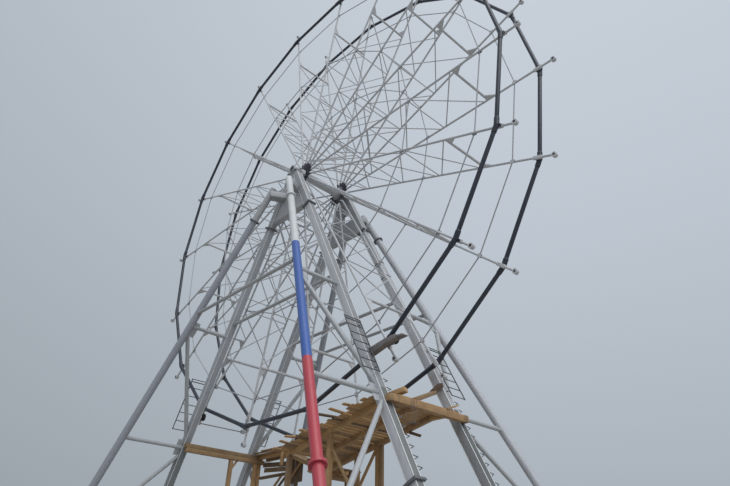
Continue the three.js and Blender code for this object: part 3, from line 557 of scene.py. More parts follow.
def leg_seams(bm, sides, start, end):
    """The welded seams along a box leg's four corners, painted light as a painted highlight on its edges."""
    turn = facing(leg_at(sides, start), leg_at(sides, end), AXIS)
    for across in (-1, 1):
        for deep in (-1, 1):
            out, back = LEG_WIDTH / 2 - SEAM["inset"], LEG_DEPTH / 2 - SEAM["inset"]
            edge = turn @ Vector((across * out, deep * back, 0))
            tube(bm, leg_at(sides, start) + edge, leg_at(sides, end) + edge, SEAM["radius"], 8)


def cut_level(bm, height, way, clear=True):
    """Cuts a mesh at a height. What lies on the side that way points to goes, and the cut is closed."""
    made = bmesh.ops.bisect_plane(
        bm, geom=bm.verts[:] + bm.edges[:] + bm.faces[:], plane_co=UP * height, plane_no=UP * way,
        clear_outer=clear)
    if clear:
        rim = [e for e in made["geom_cut"] if isinstance(e, bmesh.types.BMEdge)]
        bmesh.ops.holes_fill(bm, edges=rim, sides=0)


def panel_corners(upper, lower, left, right_end, y):
    """The corners of an upright panel. A left or right edge given as 1 or -1 follows the legs' middle."""
    ends = ((left, upper), (left, lower), (right_end, lower), (right_end, upper))
    return [Vector((x * leg_at((1, 1), drop).x if abs(x) == 1 else x, y, HUB.z - drop)) for x, drop in ends]


def round_loop(points):
    """Each point of a closed loop with the one after it."""
    return zip(points, points[1:] + points[:1])


near, far, radius, bore, chamfer = (HOUSING[key] for key in ("near", "far", "radius", "bore", "chamfer"))
for side_name, sy in (("near", -1), ("far", 1)):
    frame_bm, dark_bm, white_bm, highlight_seams_bm = (bmesh.new() for _ in range(4))
    for sx in (-1, 1):
        stub_end = leg_at((sx, sy), UPPER_SPLICE - SPLICE["gap"])
        bar(frame_bm, leg_at((sx, sy), 0), stub_end, LEG_WIDTH, LEG_DEPTH, edge=0.014)
    top = HUB.z - FRAME_TOP
    cut_level(frame_bm, top, 1)
    middle_y = leg_at((1, sy), WEB["bottom"] / 2).y
    cap_width = 2 * (leg_at((1, sy), FRAME_TOP).x + LEG_CUT_HALF + CAP["lip"])
    cap_top = top + CAP["thickness"]
    bar(frame_bm, (0, middle_y, top), (0, middle_y, cap_top), cap_width, LEG_DEPTH + 2 * CAP["lip"])
    for apart in (-WEB["apart"], WEB["apart"]):
        for panel in WEB_PANELS:
            plate(frame_bm, panel_corners(*panel, middle_y + apart), WEB["thickness"])
    for start, end in round_loop(panel_corners(*WINDOW.values(), middle_y)):
        bar(frame_bm, start, end, WEB["lining"], 2 * WEB["apart"], edge=0)
    low = leg_at((1, sy), WEB["bottom"])
    strip_x, strip_z = low.x - EDGE_STRIP["short"], low.z + EDGE_STRIP["up"]
    strip_y = middle_y + sy * (WEB["apart"] + EDGE_STRIP["off"])
    bar(frame_bm, (-low.x, middle_y, low.z), (low.x, middle_y, low.z), WEB["sill"], WEB["sill_depth"])
    bar(frame_bm, (-strip_x, strip_y, strip_z), (strip_x, strip_y, strip_z), EDGE_STRIP["height"],
        EDGE_STRIP["thickness"])
    housing_bm = bmesh.new()
    outline = [(bore, near), (radius - chamfer, near), (radius, near + chamfer), (radius, far - chamfer),
               (radius - chamfer, far), (bore, far)]
    lathe(housing_bm, HUB, [(r, sy * y) for r, y in outline], 40)
    merge_part(frame_bm, housing_bm, 0)
    for way in (-1, 1):
        foot = Vector((way * CLAW["x"], sy * (near + far) / 2, cap_top))
        bar(dark_bm, foot, foot + UP * CLAW["height"], CLAW["width"], far - near, edge=0.006)
        tube(dark_bm, foot, foot + UP * CLAW["stud"], CLAW["stud_radius"], 10)
        bolt(dark_bm, foot + UP * CLAW["height"], UP, CLAW["nut"], 0.04)
    for y, way in ((far, sy), (near, -sy)):
        bolt_ring(dark_bm, HUB + AXIS * sy * y, AXIS * way, HOUSING["bolts"], 12, 0.014, 0.018, UP)
    for sx in (-1, 1):
        sides = (sx, sy)
        square_flange(dark_bm, sides, -UPPER_SPLICE)
        # The corner seams carry the light painted highlight
        leg_seams(highlight_seams_bm, sides, FRAME_TOP + 0.1, UPPER_SPLICE - SEAM["short"])
        stub_bm = white_bm if sides == CORNERS["near_right"] else frame_bm
        stub_end = raker_at(sides, UPPER_SPLICE - SPLICE["gap"])
        tube(stub_bm, raker_at(sides, RAKER_STUB_START), stub_end, RAKER_RADIUS, 28)
        round_flange(stub_bm, sides, -UPPER_SPLICE)
        elbow = raker_at(sides, ELBOW["drop"])
        root = (sx * ELBOW["root"], middle_y + sy * WEB["apart"], elbow.z)
        bar(frame_bm, elbow, root, ELBOW["width"], ELBOW["height"], UP, 0.012)
    head_bm = bmesh.new()
    for i, part in enumerate((frame_bm, dark_bm, white_bm, highlight_seams_bm)):
        merge_part(head_bm, part, i)
    finishes = [frame_paint, flange_paint, white_paint, seam_highlight_paint]
    finish_piece("apex_" + side_name, head_bm, finishes, "support", "steel", "bearing_head_" + side_name)

# Legs: welded steel boxes, flanged to the heads and spliced once on the way down, on base plates with
# anchor bolts. The corner seams are light: a painted highlight. The right legs take a lit coat and the left
# ones a coat of painted shade, and the right legs' outer faces darker coats of painted shade. Lower down some
# coats are darker still. Bent step irons are welded up one edge of the right legs.
BASE = {"thick": 0.04, "lip": 0.148, "bolts": 0.88, "nut": 0.024, "stud": 0.07, "stud_radius": 0.013}
STEP_IRON = {"first": 12.21, "last": 17.6, "pitch": 0.31, "length": 0.15, "out": 0.27, "radius": 0.016}
IRON_INSET, IRON_SAG = 0.012, 0.03
STRAP_DROPS = (5.15, 6.03)
LEG_STRAP = {"height": 0.05, "over": 0.03}
PAST_GROUND = HUB.z + 0.5
# The corners of a square, one after the other
SQUARE = [(-1, -1), (1, -1), (1, 1), (-1, 1)]
# Below this height most leg coats turn darker
DARKER_BELOW = HUB.z - 12.5
# Lit and shaded copies of one grey paint: painted light on the right legs, painted shade on the left legs and
# on the outer faces, and darker copies lower down
LEG_COATS = {
    "bright": ((0.51, 0.52, 0.545), (0.24, 0.245, 0.25), 0.45),
    "pale": ((0.42, 0.43, 0.45), (0.19, 0.19, 0.195), 0.45),
    "shaded": ((0.36, 0.375, 0.405), (0.17, 0.175, 0.18), 0.5),
    "dimmed": ((0.285, 0.29, 0.305), (0.15, 0.15, 0.155), 0.5, 0.5),
    "deep_shade": ((0.165, 0.175, 0.175), (0.1, 0.1, 0.095), 0.6, 0.6),
    "deepest_shade": ((0.11, 0.12, 0.122), (0.07, 0.075, 0.075), 0.6, 0.6),
    "darkened": ((0.22, 0.235, 0.25), (0.12, 0.125, 0.125), 0.55, 0.6)}
# Each leg's coat and the coat of its outer face, then both again below the height under which most turn
# darker
LEG_FINISH = {
    "near_left": ("shaded", "shaded", "darkened", "darkened"), "near_right": ("bright", "dimmed", "bright", "deep_shade"),
    "far_left": ("shaded", "shaded", "shaded", "deep_shade"), "far_right": ("bright", "pale", "dimmed", "deepest_shade")}
# The number of a leg face's finish, from whether it is an outer face and whether it is low
LEG_FACE = {(False, False): 0, (True, False): 3, (True, True): 4, (False, True): 5}

leg_coats = {name: painted_steel(name + "_leg_paint", *look) for name, look in LEG_COATS.items()}


def base_plate(bm, foot, half_x, half_y):
    """A ground plate with a nut and a stud near each corner and between them."""
    corners = [foot + Vector((sx * half_x, sy * half_y, 0)) for sx, sy in SQUARE]
    bar(bm, foot, foot + UP * BASE["thick"], 2 * half_x, 2 * half_y)
    for corner, following in round_loop(corners):
        for share in (0.1, 0.5):
            spot = foot.lerp(corner.lerp(following, share), BASE["bolts"])
            spot.z = BASE["thick"]
            bolt(bm, spot, UP, BASE["nut"], 0.03)
            tube(bm, spot, spot + UP * BASE["stud"], BASE["stud_radius"], 8)


for name, sides in CORNERS.items():
    leg_bm, dark_bm, highlight_seams_bm = (bmesh.new() for _ in range(3))
    leg_start = leg_at(sides, UPPER_SPLICE + SPLICE["gap"])
    bar(leg_bm, leg_start, leg_at(sides, PAST_GROUND), LEG_WIDTH, LEG_DEPTH, edge=0.014)
    cut_level(leg_bm, BASE["thick"] / 2, -1)
    cut_level(leg_bm, DARKER_BELOW, 1, clear=False)
    for f in leg_bm.faces:
        f.normal_update()
        f.material_index = LEG_FACE[f.normal.x * sides[0] > 0.8, f.calc_center_median().z < DARKER_BELOW]
    # The corner seams carry the light painted highlight
    leg_seams(highlight_seams_bm, sides, UPPER_SPLICE + SEAM["short"], HUB.z - 0.2)
    for splice in (UPPER_SPLICE, -LOWER_SPLICE, LOWER_SPLICE):
        square_flange(dark_bm, sides, splice)
    base_plate(leg_bm, leg_at(sides, HUB.z), LEG_WIDTH / 2 + BASE["lip"], LEG_DEPTH / 2 + BASE["lip"])
    down = (leg_at(sides, 10) - leg_at(sides, 9)).normalized()
    outwards = Vector((sides[0], 0, 0))
    outwards = (outwards - down * outwards.dot(down)).normalized()
    edge = outwards * (LEG_WIDTH / 2 - IRON_INSET) + AXIS * (LEG_DEPTH / 2 - IRON_INSET)
    drop = STEP_IRON["first"]
    while sides[0] > 0 and drop < STEP_IRON["last"]:
        root, foot_end = leg_at(sides, drop) + edge, leg_at(sides, drop + STEP_IRON["length"]) + edge
        bend = root + AXIS * STEP_IRON["out"] - UP * IRON_SAG
        tube(dark_bm, root, bend, STEP_IRON["radius"], 6)
        tube(dark_bm, bend, foot_end, STEP_IRON["radius"], 6)
        drop += STEP_IRON["pitch"]
    for drop in STRAP_DROPS if name == "far_right" else ():
        strap = leg_at(sides, drop)
        bar(dark_bm, strap, strap + down * LEG_STRAP["height"], LEG_WIDTH + LEG_STRAP["over"],
            LEG_DEPTH + LEG_STRAP["over"])
    merge_part(leg_bm, dark_bm, 1)
    merge_part(leg_bm, highlight_seams_bm, 2)
    coat, outer_coat, low_coat, low_outer_coat = (leg_coats[key] for key in LEG_FINISH[name])
    finish_piece("box_leg_" + name, leg_bm,
                 [coat, flange_paint, seam_highlight_paint, outer_coat, low_outer_coat, low_coat], "support", "steel",
                 "leg_" + name)

# Rakers: round struts of steel tube in two flanged lengths that stand far out to the sides. The near
# right one is painted white, blue and red. The others are grey, and the left ones darker: painted shade.
RAKER_FROM = UPPER_SPLICE + SPLICE["gap"]
BLUE_FROM, RED_FROM = 6.5, 12.2

raker_paint = painted_steel("raker_paint", (0.43, 0.44, 0.475), (0.2, 0.2, 0.21), 0.42)
# A darker copy of the raker paint for the left rakers: painted shade
shaded_raker_paint = painted_steel("shaded_raker_paint", (0.3, 0.315, 0.36), (0.15, 0.155, 0.17), 0.45)
blue_paint = painted_steel("blue_paint", (0.035, 0.1, 0.35), (0.1, 0.16, 0.33), 0.38, 0.25)
red_paint = painted_steel("red_paint", (0.42, 0.045, 0.065), (0.27, 0.07, 0.08), 0.38, 0.25)

for name, sides in CORNERS.items():
    banded = name == "near_right"
    raker_bm = bmesh.new()
    breaks = [RAKER_FROM, BLUE_FROM, RED_FROM, PAST_GROUND] if banded else [RAKER_FROM, PAST_GROUND]
    for i, (start, end) in enumerate(zip(breaks, breaks[1:])):
        length_bm = bmesh.new()
        tube(length_bm, raker_at(sides, start), raker_at(sides, end), RAKER_RADIUS, 28)
        merge_part(raker_bm, length_bm, i)
    cut_level(raker_bm, BASE["thick"] / 2, -1)
    for drop, band in ((UPPER_SPLICE, 0), (LOWER_SPLICE, 2), (-LOWER_SPLICE, 2)):
        collar_bm = bmesh.new()
        round_flange(collar_bm, sides, drop)
        merge_part(raker_bm, collar_bm, band if banded else 1)
    foot_bm = bmesh.new()
    foot_half = RAKER_RADIUS + BASE["lip"]
    base_plate(foot_bm, raker_at(sides, HUB.z), foot_half, foot_half)
    merge_part(raker_bm, foot_bm, 2 if banded else 0)
    plain_paint = raker_paint if sides[0] > 0 else shaded_raker_paint
    finishes = [white_paint, blue_paint, red_paint] if banded else [plain_paint, flange_paint]
    finish_piece("raker_tube_" + name, raker_bm, finishes, "support", "band_paint" if banded else "steel",
                 "raker_" + name)

# Cross ties: level round steel tubes from leg to leg and from raker to raker, on both sides of the wheel.
# A round end plate bolts each of them to its member.
CROSS_TIE = {"drop": 7.43, "radius": 0.076, "overlap": 0.85}
# Each tie's name, what it meets at a corner, and the way from there to its end plate
TIE_KINDS = [("leg_tie_", leg_at, 0.19), ("raker_tie_", raker_at, 0.175)]
END_PLATE = {"thickness": 0.02, "radius": 0.1102, "bolts": 0.09424}

for side_name, sy in (("near", -1), ("far", 1)):
    for tie, at_corner, gap in TIE_KINDS:
        tie_bm = bmesh.new()
        left, right_end = (at_corner((sx, sy), CROSS_TIE["drop"]) for sx in (-1, 1))
        inset = (right_end - left).normalized() * gap
        tube_inset = inset * CROSS_TIE["overlap"]
        tube(tie_bm, left + tube_inset, right_end - tube_inset, CROSS_TIE["radius"], 20)
        for at, along in ((left + inset, inset.normalized()), (right_end - inset, -inset.normalized())):
            face = at + along * END_PLATE["thickness"]
            tube(tie_bm, at, face, END_PLATE["radius"], 20)
            bolt_ring(tie_bm, face, along, END_PLATE["bolts"], 6, 0.01, 0.012, (0.3, 0.9, 0.1), False)
        finish_piece(tie + "tube_" + side_name, tie_bm, [frame_paint], "support", "steel", tie + side_name)

# Corner braces: at each corner two level links, a long diagonal and a foot diagonal between leg and
# raker, of round tube with flattened ends bolted to gusset plates.
UPPER_NODE, LOWER_NODE, FOOT_NODE, SPREAD = 8.0, 12.68, 17.2, 0.2
LINK_RADIUS, BRACE_RADIUS = 0.084, 0.092
# Each member's drop on the raker, its drop on the leg, and its radius
MEMBERS = [(UPPER_NODE, UPPER_NODE, LINK_RADIUS), (UPPER_NODE + SPREAD, LOWER_NODE - SPREAD, BRACE_RADIUS),
           (LOWER_NODE, LOWER_NODE, LINK_RADIUS), (FOOT_NODE, LOWER_NODE + SPREAD, LINK_RADIUS)]
BRACE_LUG = {"from": 0.2, "long": 0.36, "radii_across": 1.7, "thickness": 0.022, "bolts": (0.24, 0.32, 0.4)}
BRACE_SETBACK = 0.12
GUSSET = {"half": 0.35, "across": 0.36, "thickness": 0.026, "shift": 0.23}

brace_paint = painted_steel("brace_paint", (0.4, 0.42, 0.435), (0.19, 0.2, 0.21), 0.42)
for name, sides in CORNERS.items():
    brace_bm = bmesh.new()
    normal = (leg_at(sides, 2) - leg_at(sides, 1)).cross(AXIS).normalized()
    for raker_drop, leg_drop, radius in MEMBERS:
        start, end = raker_at(sides, raker_drop), leg_at(sides, leg_drop)
        along = (end - start).normalized()
        tube(brace_bm, start + along * BRACE_SETBACK, end - along * BRACE_SETBACK, radius, 20)
        for at, inwards in ((start, along), (end, -along)):
            lug = at + inwards * BRACE_LUG["from"]
            lug_end = lug + inwards * BRACE_LUG["long"]
            bar(brace_bm, lug, lug_end, radius * BRACE_LUG["radii_across"], BRACE_LUG["thickness"], normal)
            for step in BRACE_LUG["bolts"]:
                for face in (-normal, normal):
                    bolt(brace_bm, at + inwards * step + face * radius, face, 0.015)
    for at_corner, drop, way in ((raker_at, UPPER_NODE + SPREAD / 2, -sides[1]),
                                 (leg_at, LOWER_NODE, sides[1])):
        centre = at_corner(sides, drop) + AXIS * way * GUSSET["shift"]
        half = (at_corner(sides, drop + 1) - at_corner(sides, drop)).normalized() * GUSSET["half"]
        bar_about(brace_bm, centre, half, GUSSET["across"], GUSSET["thickness"], normal)
    finish_piece("brace_set_" + name, brace_bm, [brace_paint], "support", "steel", "corner_brace_" + name)

# Rim drives: on each near leg a tyre that turns the wheel stands against the outer side of the near rim's
# tube. On the right a tapered steel box arm bolted to the leg carries its bracket and axle, on the left
# the leg's inner face.
ARM = {"y": -1.69, "width": 0.22, "outline": [
    (5.64, 8.22), (6.0, 8.26), (6.7, 8.45), (7.2, 8.52), (7.5, 8.54), (7.47, 8.58), (6.95, 8.64), (6.6, 8.63),
    (5.64, 8.44)]}
ARM_KNOB = {"x": 7.45, "z": 8.53, "long": 0.06, "radius": 0.04}
BRACKET = {"half": 0.11, "thickness": 0.05, "gap": 0.045, "drop": 0.24}
BRACKET_BOLTS = [(x, z) for x in (-0.075, 0.075) for z in (-0.2, -0.13, -0.06)]
TYRES = {"near_left": Vector((-5.9012, -1.432, 8.1639)), "near_right": Vector((6.7724, -1.432, 8.6619))}
TYRE = {"radius": 0.165, "half": 0.075, "hub": 0.062}
AXLE = {"radius": 0.0345, "past": 0.015}

arm_paint = painted_steel("arm_paint", (0.2, 0.18, 0.175), (0.09, 0.075, 0.068), 0.5, 0.7)
for name, tyre_at in TYRES.items():
    drive_bm = bmesh.new()
    inner_y = tyre_at.y - TYRE["half"] - BRACKET["gap"]
    if name == "near_left":
        thickness = inner_y - leg_at(CORNERS[name], HUB.z - tyre_at.z).y - LEG_DEPTH / 2
    else:
        thickness = BRACKET["thickness"]
        plate(drive_bm, [Vector((x, ARM["y"], z)) for x, z in ARM["outline"]], ARM["width"])
        round_edges(drive_bm, drive_bm.edges[:], 0.008)
        knob = Vector((ARM_KNOB["x"], ARM["y"] - ARM["width"] / 2, ARM_KNOB["z"]))
        tube(drive_bm, knob, knob - AXIS * ARM_KNOB["long"], ARM_KNOB["radius"])
    middle = Vector((tyre_at.x, inner_y - thickness / 2, tyre_at.z))
    low, high = middle - UP * BRACKET["drop"], middle + UP * BRACKET["half"]
    bar(drive_bm, low, high, 2 * BRACKET["half"], thickness, edge=0.006)
    for x, z in BRACKET_BOLTS:
        bolt(drive_bm, (tyre_at.x + x, inner_y, tyre_at.z + z), AXIS, 0.012, 0.014)
    tube(drive_bm, tyre_at + AXIS * (TYRE["half"] + AXLE["past"]), middle, AXLE["radius"], 20)
    finish_piece("drive_arm_" + name, drive_bm, [arm_paint], "support", "steel", "rim_drive_" + name)

# Drive tyres: solid black rubber tyres with a grooved tread, moulded on pressed steel hubs. Each turns on
# the axle of its rim drive.
TREADS = 24
TREAD = {"from": 0.014, "to": 0.058, "sunk": 0.005, "width": 0.026, "height": 0.009}

rubber, rubber_tree = new_finish("tyre_rubber")
dust = node(rubber_tree, "TexNoise", Vector=node(rubber_tree, "TexCoord", "Object"), Scale=14.0, Detail=5.0)
grit = node(rubber_tree, "Bump", Height=dust, Strength=0.3, Distance=0.002)
dusty_black = blend_colours(rubber_tree, dust, (0.008, 0.008, 0.009), (0.035, 0.034, 0.033))
surface(rubber_tree, Base_Color=dusty_black, Roughness=0.75, Normal=grit)

for name, centre in TYRES.items():
    tyre_bm = bmesh.new()
    radius, half, hub = TYRE.values()
    outline = [(AXLE["radius"] + 0.001, -half + 0.02), (hub, -half + 0.02), (hub + 0.008, -half + 0.008),
               (radius - 0.035, -half), (radius - 0.012, -half + 0.012), (radius - 0.006, -half + 0.03),
               (radius - 0.006, -0.012), (radius - 0.014, -0.006)]
    lathe(tyre_bm, centre, outline + [(r, -y) for r, y in reversed(outline)], 48)
    for f in tyre_bm.faces:
        out = f.calc_center_median() - centre
        if math.hypot(out.x, out.z) < hub + 0.004:
            f.material_index = 1
    for i in range(TREADS):
        turn = Matrix.Rotation(i * math.tau / TREADS, 3, "Y")
        outer = centre + turn @ UP * (radius - TREAD["sunk"])
        for side in (-1, 1):
            start, end = (outer + AXIS * side * TREAD[key] for key in ("from", "to"))
            bar(tyre_bm, start, end, TREAD["width"], TREAD["height"], turn @ UP, 0.0015)
    finish_piece("tyre_" + name, tyre_bm, [rubber, flange_paint], "drive_tyre_" + name, "tyre",
                 "drive_tyre_" + name)

# Service ladders: two rails, seven rungs and a second top rung of round steel tube, held on short arms off
# the outer face of each leg at the height of the drives.
LADDER = {"top": 9.87, "bottom": 11.98, "out": 0.33, "rungs": 7, "radius": 0.023, "rung_radius": 0.0184}
RAILS = (0.02, 0.76)
RUNG_SPAN = LADDER["bottom"] - LADDER["top"]
SECOND_RUNG = LADDER["top"] + 0.12
LADDER_ARM = {"inset": 0.2, "radius": 0.017}
# How far the end rungs lie from the rails' ends, in steps between rungs
END_STEP = 0.06

ladder_paint = painted_steel("ladder_paint", (0.07, 0.073, 0.08), (0.12, 0.12, 0.12), 0.45)


def rails_at(sides, drop):
    """The points of both rails at a drop."""
    return [leg_at(sides, drop) + Vector((sides[0] * LADDER["out"], sides[1] * y, 0)) for y in RAILS]


for name, sides in CORNERS.items():
    ladder_bm = bmesh.new()
    for start, end in zip(rails_at(sides, LADDER["top"]), rails_at(sides, LADDER["bottom"])):
        tube(ladder_bm, start, end, LADDER["radius"], 10)
    for i in range(LADDER["rungs"]):
        drop = LADDER["top"] + RUNG_SPAN * (i + END_STEP) / (LADDER["rungs"] - 1 + 2 * END_STEP)
        tube(ladder_bm, *rails_at(sides, drop), LADDER["rung_radius"], 8)
    tube(ladder_bm, *rails_at(sides, SECOND_RUNG), LADDER["radius"], 8)
    for drop in (LADDER["top"] + LADDER_ARM["inset"], LADDER["bottom"] - LADDER_ARM["inset"]):
        root = leg_at(sides, drop) + Vector((sides[0] * LEG_WIDTH / 2, sides[1] * RAILS[0], 0))
        tube(ladder_bm, root, rails_at(sides, drop)[0], LADDER_ARM["radius"], 8)
    finish_piece("ladder_" + name, ladder_bm, [ladder_paint], "support", "steel", "service_ladder_" + name)

# Cross beams: rough sawn squared timbers across the legs, the left one two planks on edge, one on the
# other, inside the legs on three posts, and the right one a single log outside the legs, lashed on.
BEAM_WIDTH = 0.23
LEFT_BEAM = {"top": 6.96, "height": 0.36, "near": -1.95, "far": 2.35}
UPPER_PLANK = {"short": 0.12, "height": 0.97, "age_and_shade": 1.05}
LOWER_PLANK = {"shift": 0.01, "short": 0.05, "narrow": 0.02, "age_and_shade": 0.7}
LEFT_KNEE = {"down": 0.48, "reach": 0.35, "into": 0.03, "age_and_shade": 0.3}
RIGHT_BEAM = {"top": 6.71, "height": 0.22, "near": -1.97, "far": 1.9, "age_and_shade": 0.55}
POST = 0.17
LEFT_POSTS = [(0.53, 0.6), (1.9, 0.3), (2.11, 0.3)]
KNEE = 0.085
FRESH = (0.24, 0.125, 0.05), (0.72, 0.45, 0.21)
WEATHERED = (0.13, 0.08, 0.042), (0.44, 0.3, 0.17)
# The last colour is the dark brown painted shade of timbers that stand in shadow
STAIN, KNOT, SHADE_BROWN = (0.13, 0.075, 0.035), (0.07, 0.042, 0.025), (0.035, 0.02, 0.014)

chance = random.Random(11)
timber_finish, wood = new_finish("rough_timber")
grain_at = node(wood, "Attribute", "Vector", attribute_name="grain")
tone_at = node(wood, "Attribute", "Fac", attribute_name="tone")
stretched = node(wood, "Mapping", Vector=grain_at, Scale=(26.0, 26.0, 1.3))
fibres = node(wood, "TexNoise", Vector=stretched, Scale=1.6, Detail=6.0, Roughness=0.7, Distortion=0.6)
blotches = node(wood, "TexNoise", Vector=grain_at, Scale=2.6, Detail=4.0, Roughness=0.6)
knots = node(wood, "TexVoronoi", "Distance", Vector=grain_at, Scale=3.2)
knot_edge = node(wood, "MapRange", Value=knots, From_Min=0.03, From_Max=0.09)
fresh, weathered = (blend_colours(wood, fibres, *pair) for pair in (FRESH, WEATHERED))
aged = blend_colours(wood, tone_at, fresh, weathered)
spread = node(wood, "MapRange", Value=blotches, From_Min=0.35, From_Max=0.75, To_Max=0.5)
stained = blend_colours(wood, spread, aged, STAIN)
knotted = blend_colours(wood, knot_edge, KNOT, stained)
# Tones from 1 to 2 blend to the dark brown painted shade
shade_mask = node(wood, "MapRange", Value=tone_at, From_Min=1.0, From_Max=2.0)
surface(wood, Base_Color=blend_colours(wood, shade_mask, knotted, SHADE_BROWN), Roughness=0.86,
        Normal=node(wood, "Bump", Height=fibres, Strength=0.5, Distance=0.004))


def timber(bm, start, end, width, depth, age_and_shade=None, towards=UP):
    """One sawn timber from start to end with its own grain and tone: 0 is fresh tan, 1 weathered brown
    and 2 dark brown, the painted shade of timbers that stand in shadow."""
    start, end = Vector(start), Vector(end)
    part = bmesh.new()
    bar(part, start, end, width, depth, towards, 0.007)
    grain = part.verts.layers.float_vector.new("grain")
    tone = part.verts.layers.float.new("tone")
    to_local = facing(start, end, towards).inverted()
    own_place = Vector([chance.uniform(0, 9) for _ in range(3)])
    own_age_and_shade = min(1.5, max(0, chance.gauss(0.35, 0.5))) if age_and_shade is None else age_and_shade
    for v in part.verts:
        v[grain] = to_local @ (v.co - start) + own_place
        v[tone] = own_age_and_shade
    merge_part(bm, part, 0)


def post(bm, x, y, top, age_and_shade):
    timber(bm, (x, y, 0), (x, y, top), POST, POST, age_and_shade, AXIS)


def finish_timber(name, bm, *nodes):
    finish_piece(name, bm, [timber_finish], "support", "timber", *nodes)


left_face = -leg_at((1, 1), HUB.z - LEFT_BEAM["top"]).x + LEG_CUT_HALF
left_x = left_face + BEAM_WIDTH / 2
left_under = LEFT_BEAM["top"] - LEFT_BEAM["height"]
half_height = LEFT_BEAM["height"] / 2
near, far = LEFT_BEAM["near"], LEFT_BEAM["far"]
plank_z = left_under + half_height * 1.5
left_bm = bmesh.new()
timber(left_bm, (left_x, near, plank_z), (left_x, far - UPPER_PLANK["short"], plank_z), BEAM_WIDTH,
       half_height * UPPER_PLANK["height"], UPPER_PLANK["age_and_shade"])
plank_x, plank_z = left_x + LOWER_PLANK["shift"], left_under + half_height / 2
timber(left_bm, (plank_x, near + LOWER_PLANK["short"], plank_z), (plank_x, far, plank_z),
       BEAM_WIDTH - LOWER_PLANK["narrow"], half_height, LOWER_PLANK["age_and_shade"])
for y, age_and_shade in LEFT_POSTS:
    post(left_bm, left_x, y, left_under, age_and_shade)
knee_y = LEFT_POSTS[0][0]
knee_foot = (left_x, knee_y, left_under - LEFT_KNEE["down"])
knee_head = (left_x, knee_y + LEFT_KNEE["reach"], left_under + LEFT_KNEE["into"])
timber(left_bm, knee_foot, knee_head, KNEE, KNEE, LEFT_KNEE["age_and_shade"], OUT)
finish_timber("left_cross_beam", left_bm, "cross_beam_left")

right_face = leg_at((1, 1), HUB.z - RIGHT_BEAM["top"] + RIGHT_BEAM["height"]).x + LEG_CUT_HALF
right_x = right_face + BEAM_WIDTH / 2
right_z = RIGHT_BEAM["top"] - RIGHT_BEAM["height"] / 2
right_bm = bmesh.new()
timber(right_bm, (right_x, RIGHT_BEAM["near"], right_z), (right_x, RIGHT_BEAM["far"], right_z), BEAM_WIDTH,
       RIGHT_BEAM["height"], RIGHT_BEAM["age_and_shade"])
finish_timber("right_cross_beam", right_bm, "cross_beam_right")

# Staging deck: loose rough boards, no two of one length, across bearers that follow two ramps with a
# level part between them, and long boards on the walkway at the far side.
BOARD = 0.045
BOARD_WIDTHS, BOARD_GAPS = (0.14, 0.16, 0.19, 0.22), (0.006, 0.012, 0.02, 0.05)
WALKWAY_WIDTHS, WALKWAY_GAP = (0.15, 0.18, 0.2), 0.012
BEARER = 0.16
DECK_LINE = [(-3.9, 6.96), (-0.4, 5.66), (0.9, 5.66), (6.12, 6.71)]
FIRST_BOARD_X, LEVEL_END_X, RAMP_FOOT_X = -1.3, 0.6, 1.2
RAMP_NEAR_Y, RAMP_FAR_Y = -2.03, 1.2
SLANT = {"reach": 2.6, "start": -0.5, "rise": 2.35}
TONGUE = {"from": 6.22, "to": 7.06, "near": -1.56}
REAR_Y = 2.75
WALKWAY = {"from": -6.19, "near": 1.85}
BEARER_ROWS = {"near": -1.5, "middle": -0.25, "far": 1.0, "walkway": 2.1, "rear": 2.6}
BEARER_FROM = {"near": 1.15, "middle": 1.25, "far": -0.6, "rear": -6.15}
BEARER_TO = {"walkway": 0.55, "rear": 0.56}
FIT, SLOPE_RUN, LEAST_BOARD = 0.002, 0.1, 0.1


def deck_under(x):
    """The height of the boards' underside."""
    if x <= DECK_LINE[0][0]:
        return DECK_LINE[0][1]
    for (low_x, low), (high_x, high) in zip(DECK_LINE, DECK_LINE[1:]):
        if x <= high_x:
            return low + (high - low) * (x - low_x) / (high_x - low_x)
    return DECK_LINE[-1][1]


def bearer(bm, row, left, right, age_and_shade=None):
    """Bearer timbers end to end under the boards, following the ramps."""
    breaks = [left] + [x for x, _ in DECK_LINE if left < x < right] + [right]
    points = [(x, BEARER_ROWS[row], deck_under(x) - BEARER / 2) for x in breaks]
    for start, end in zip(points, points[1:]):
        timber(bm, start, end, BEARER, BEARER, age_and_shade)


def ramp_board(bm, x, width, near, far, lift=0.0, skew=0.0):
    """A board that lies across the bearers."""
    rise = deck_under(x + SLOPE_RUN) - deck_under(x - SLOPE_RUN)
    z, twist = deck_under(x) + BOARD / 2 + lift, skew * rise / (2 * SLOPE_RUN)
    timber(bm, (x - skew, near, z - twist), (x + skew, far, z + twist), width, BOARD,
           towards=Vector((-rise, 0, 2 * SLOPE_RUN)).normalized())


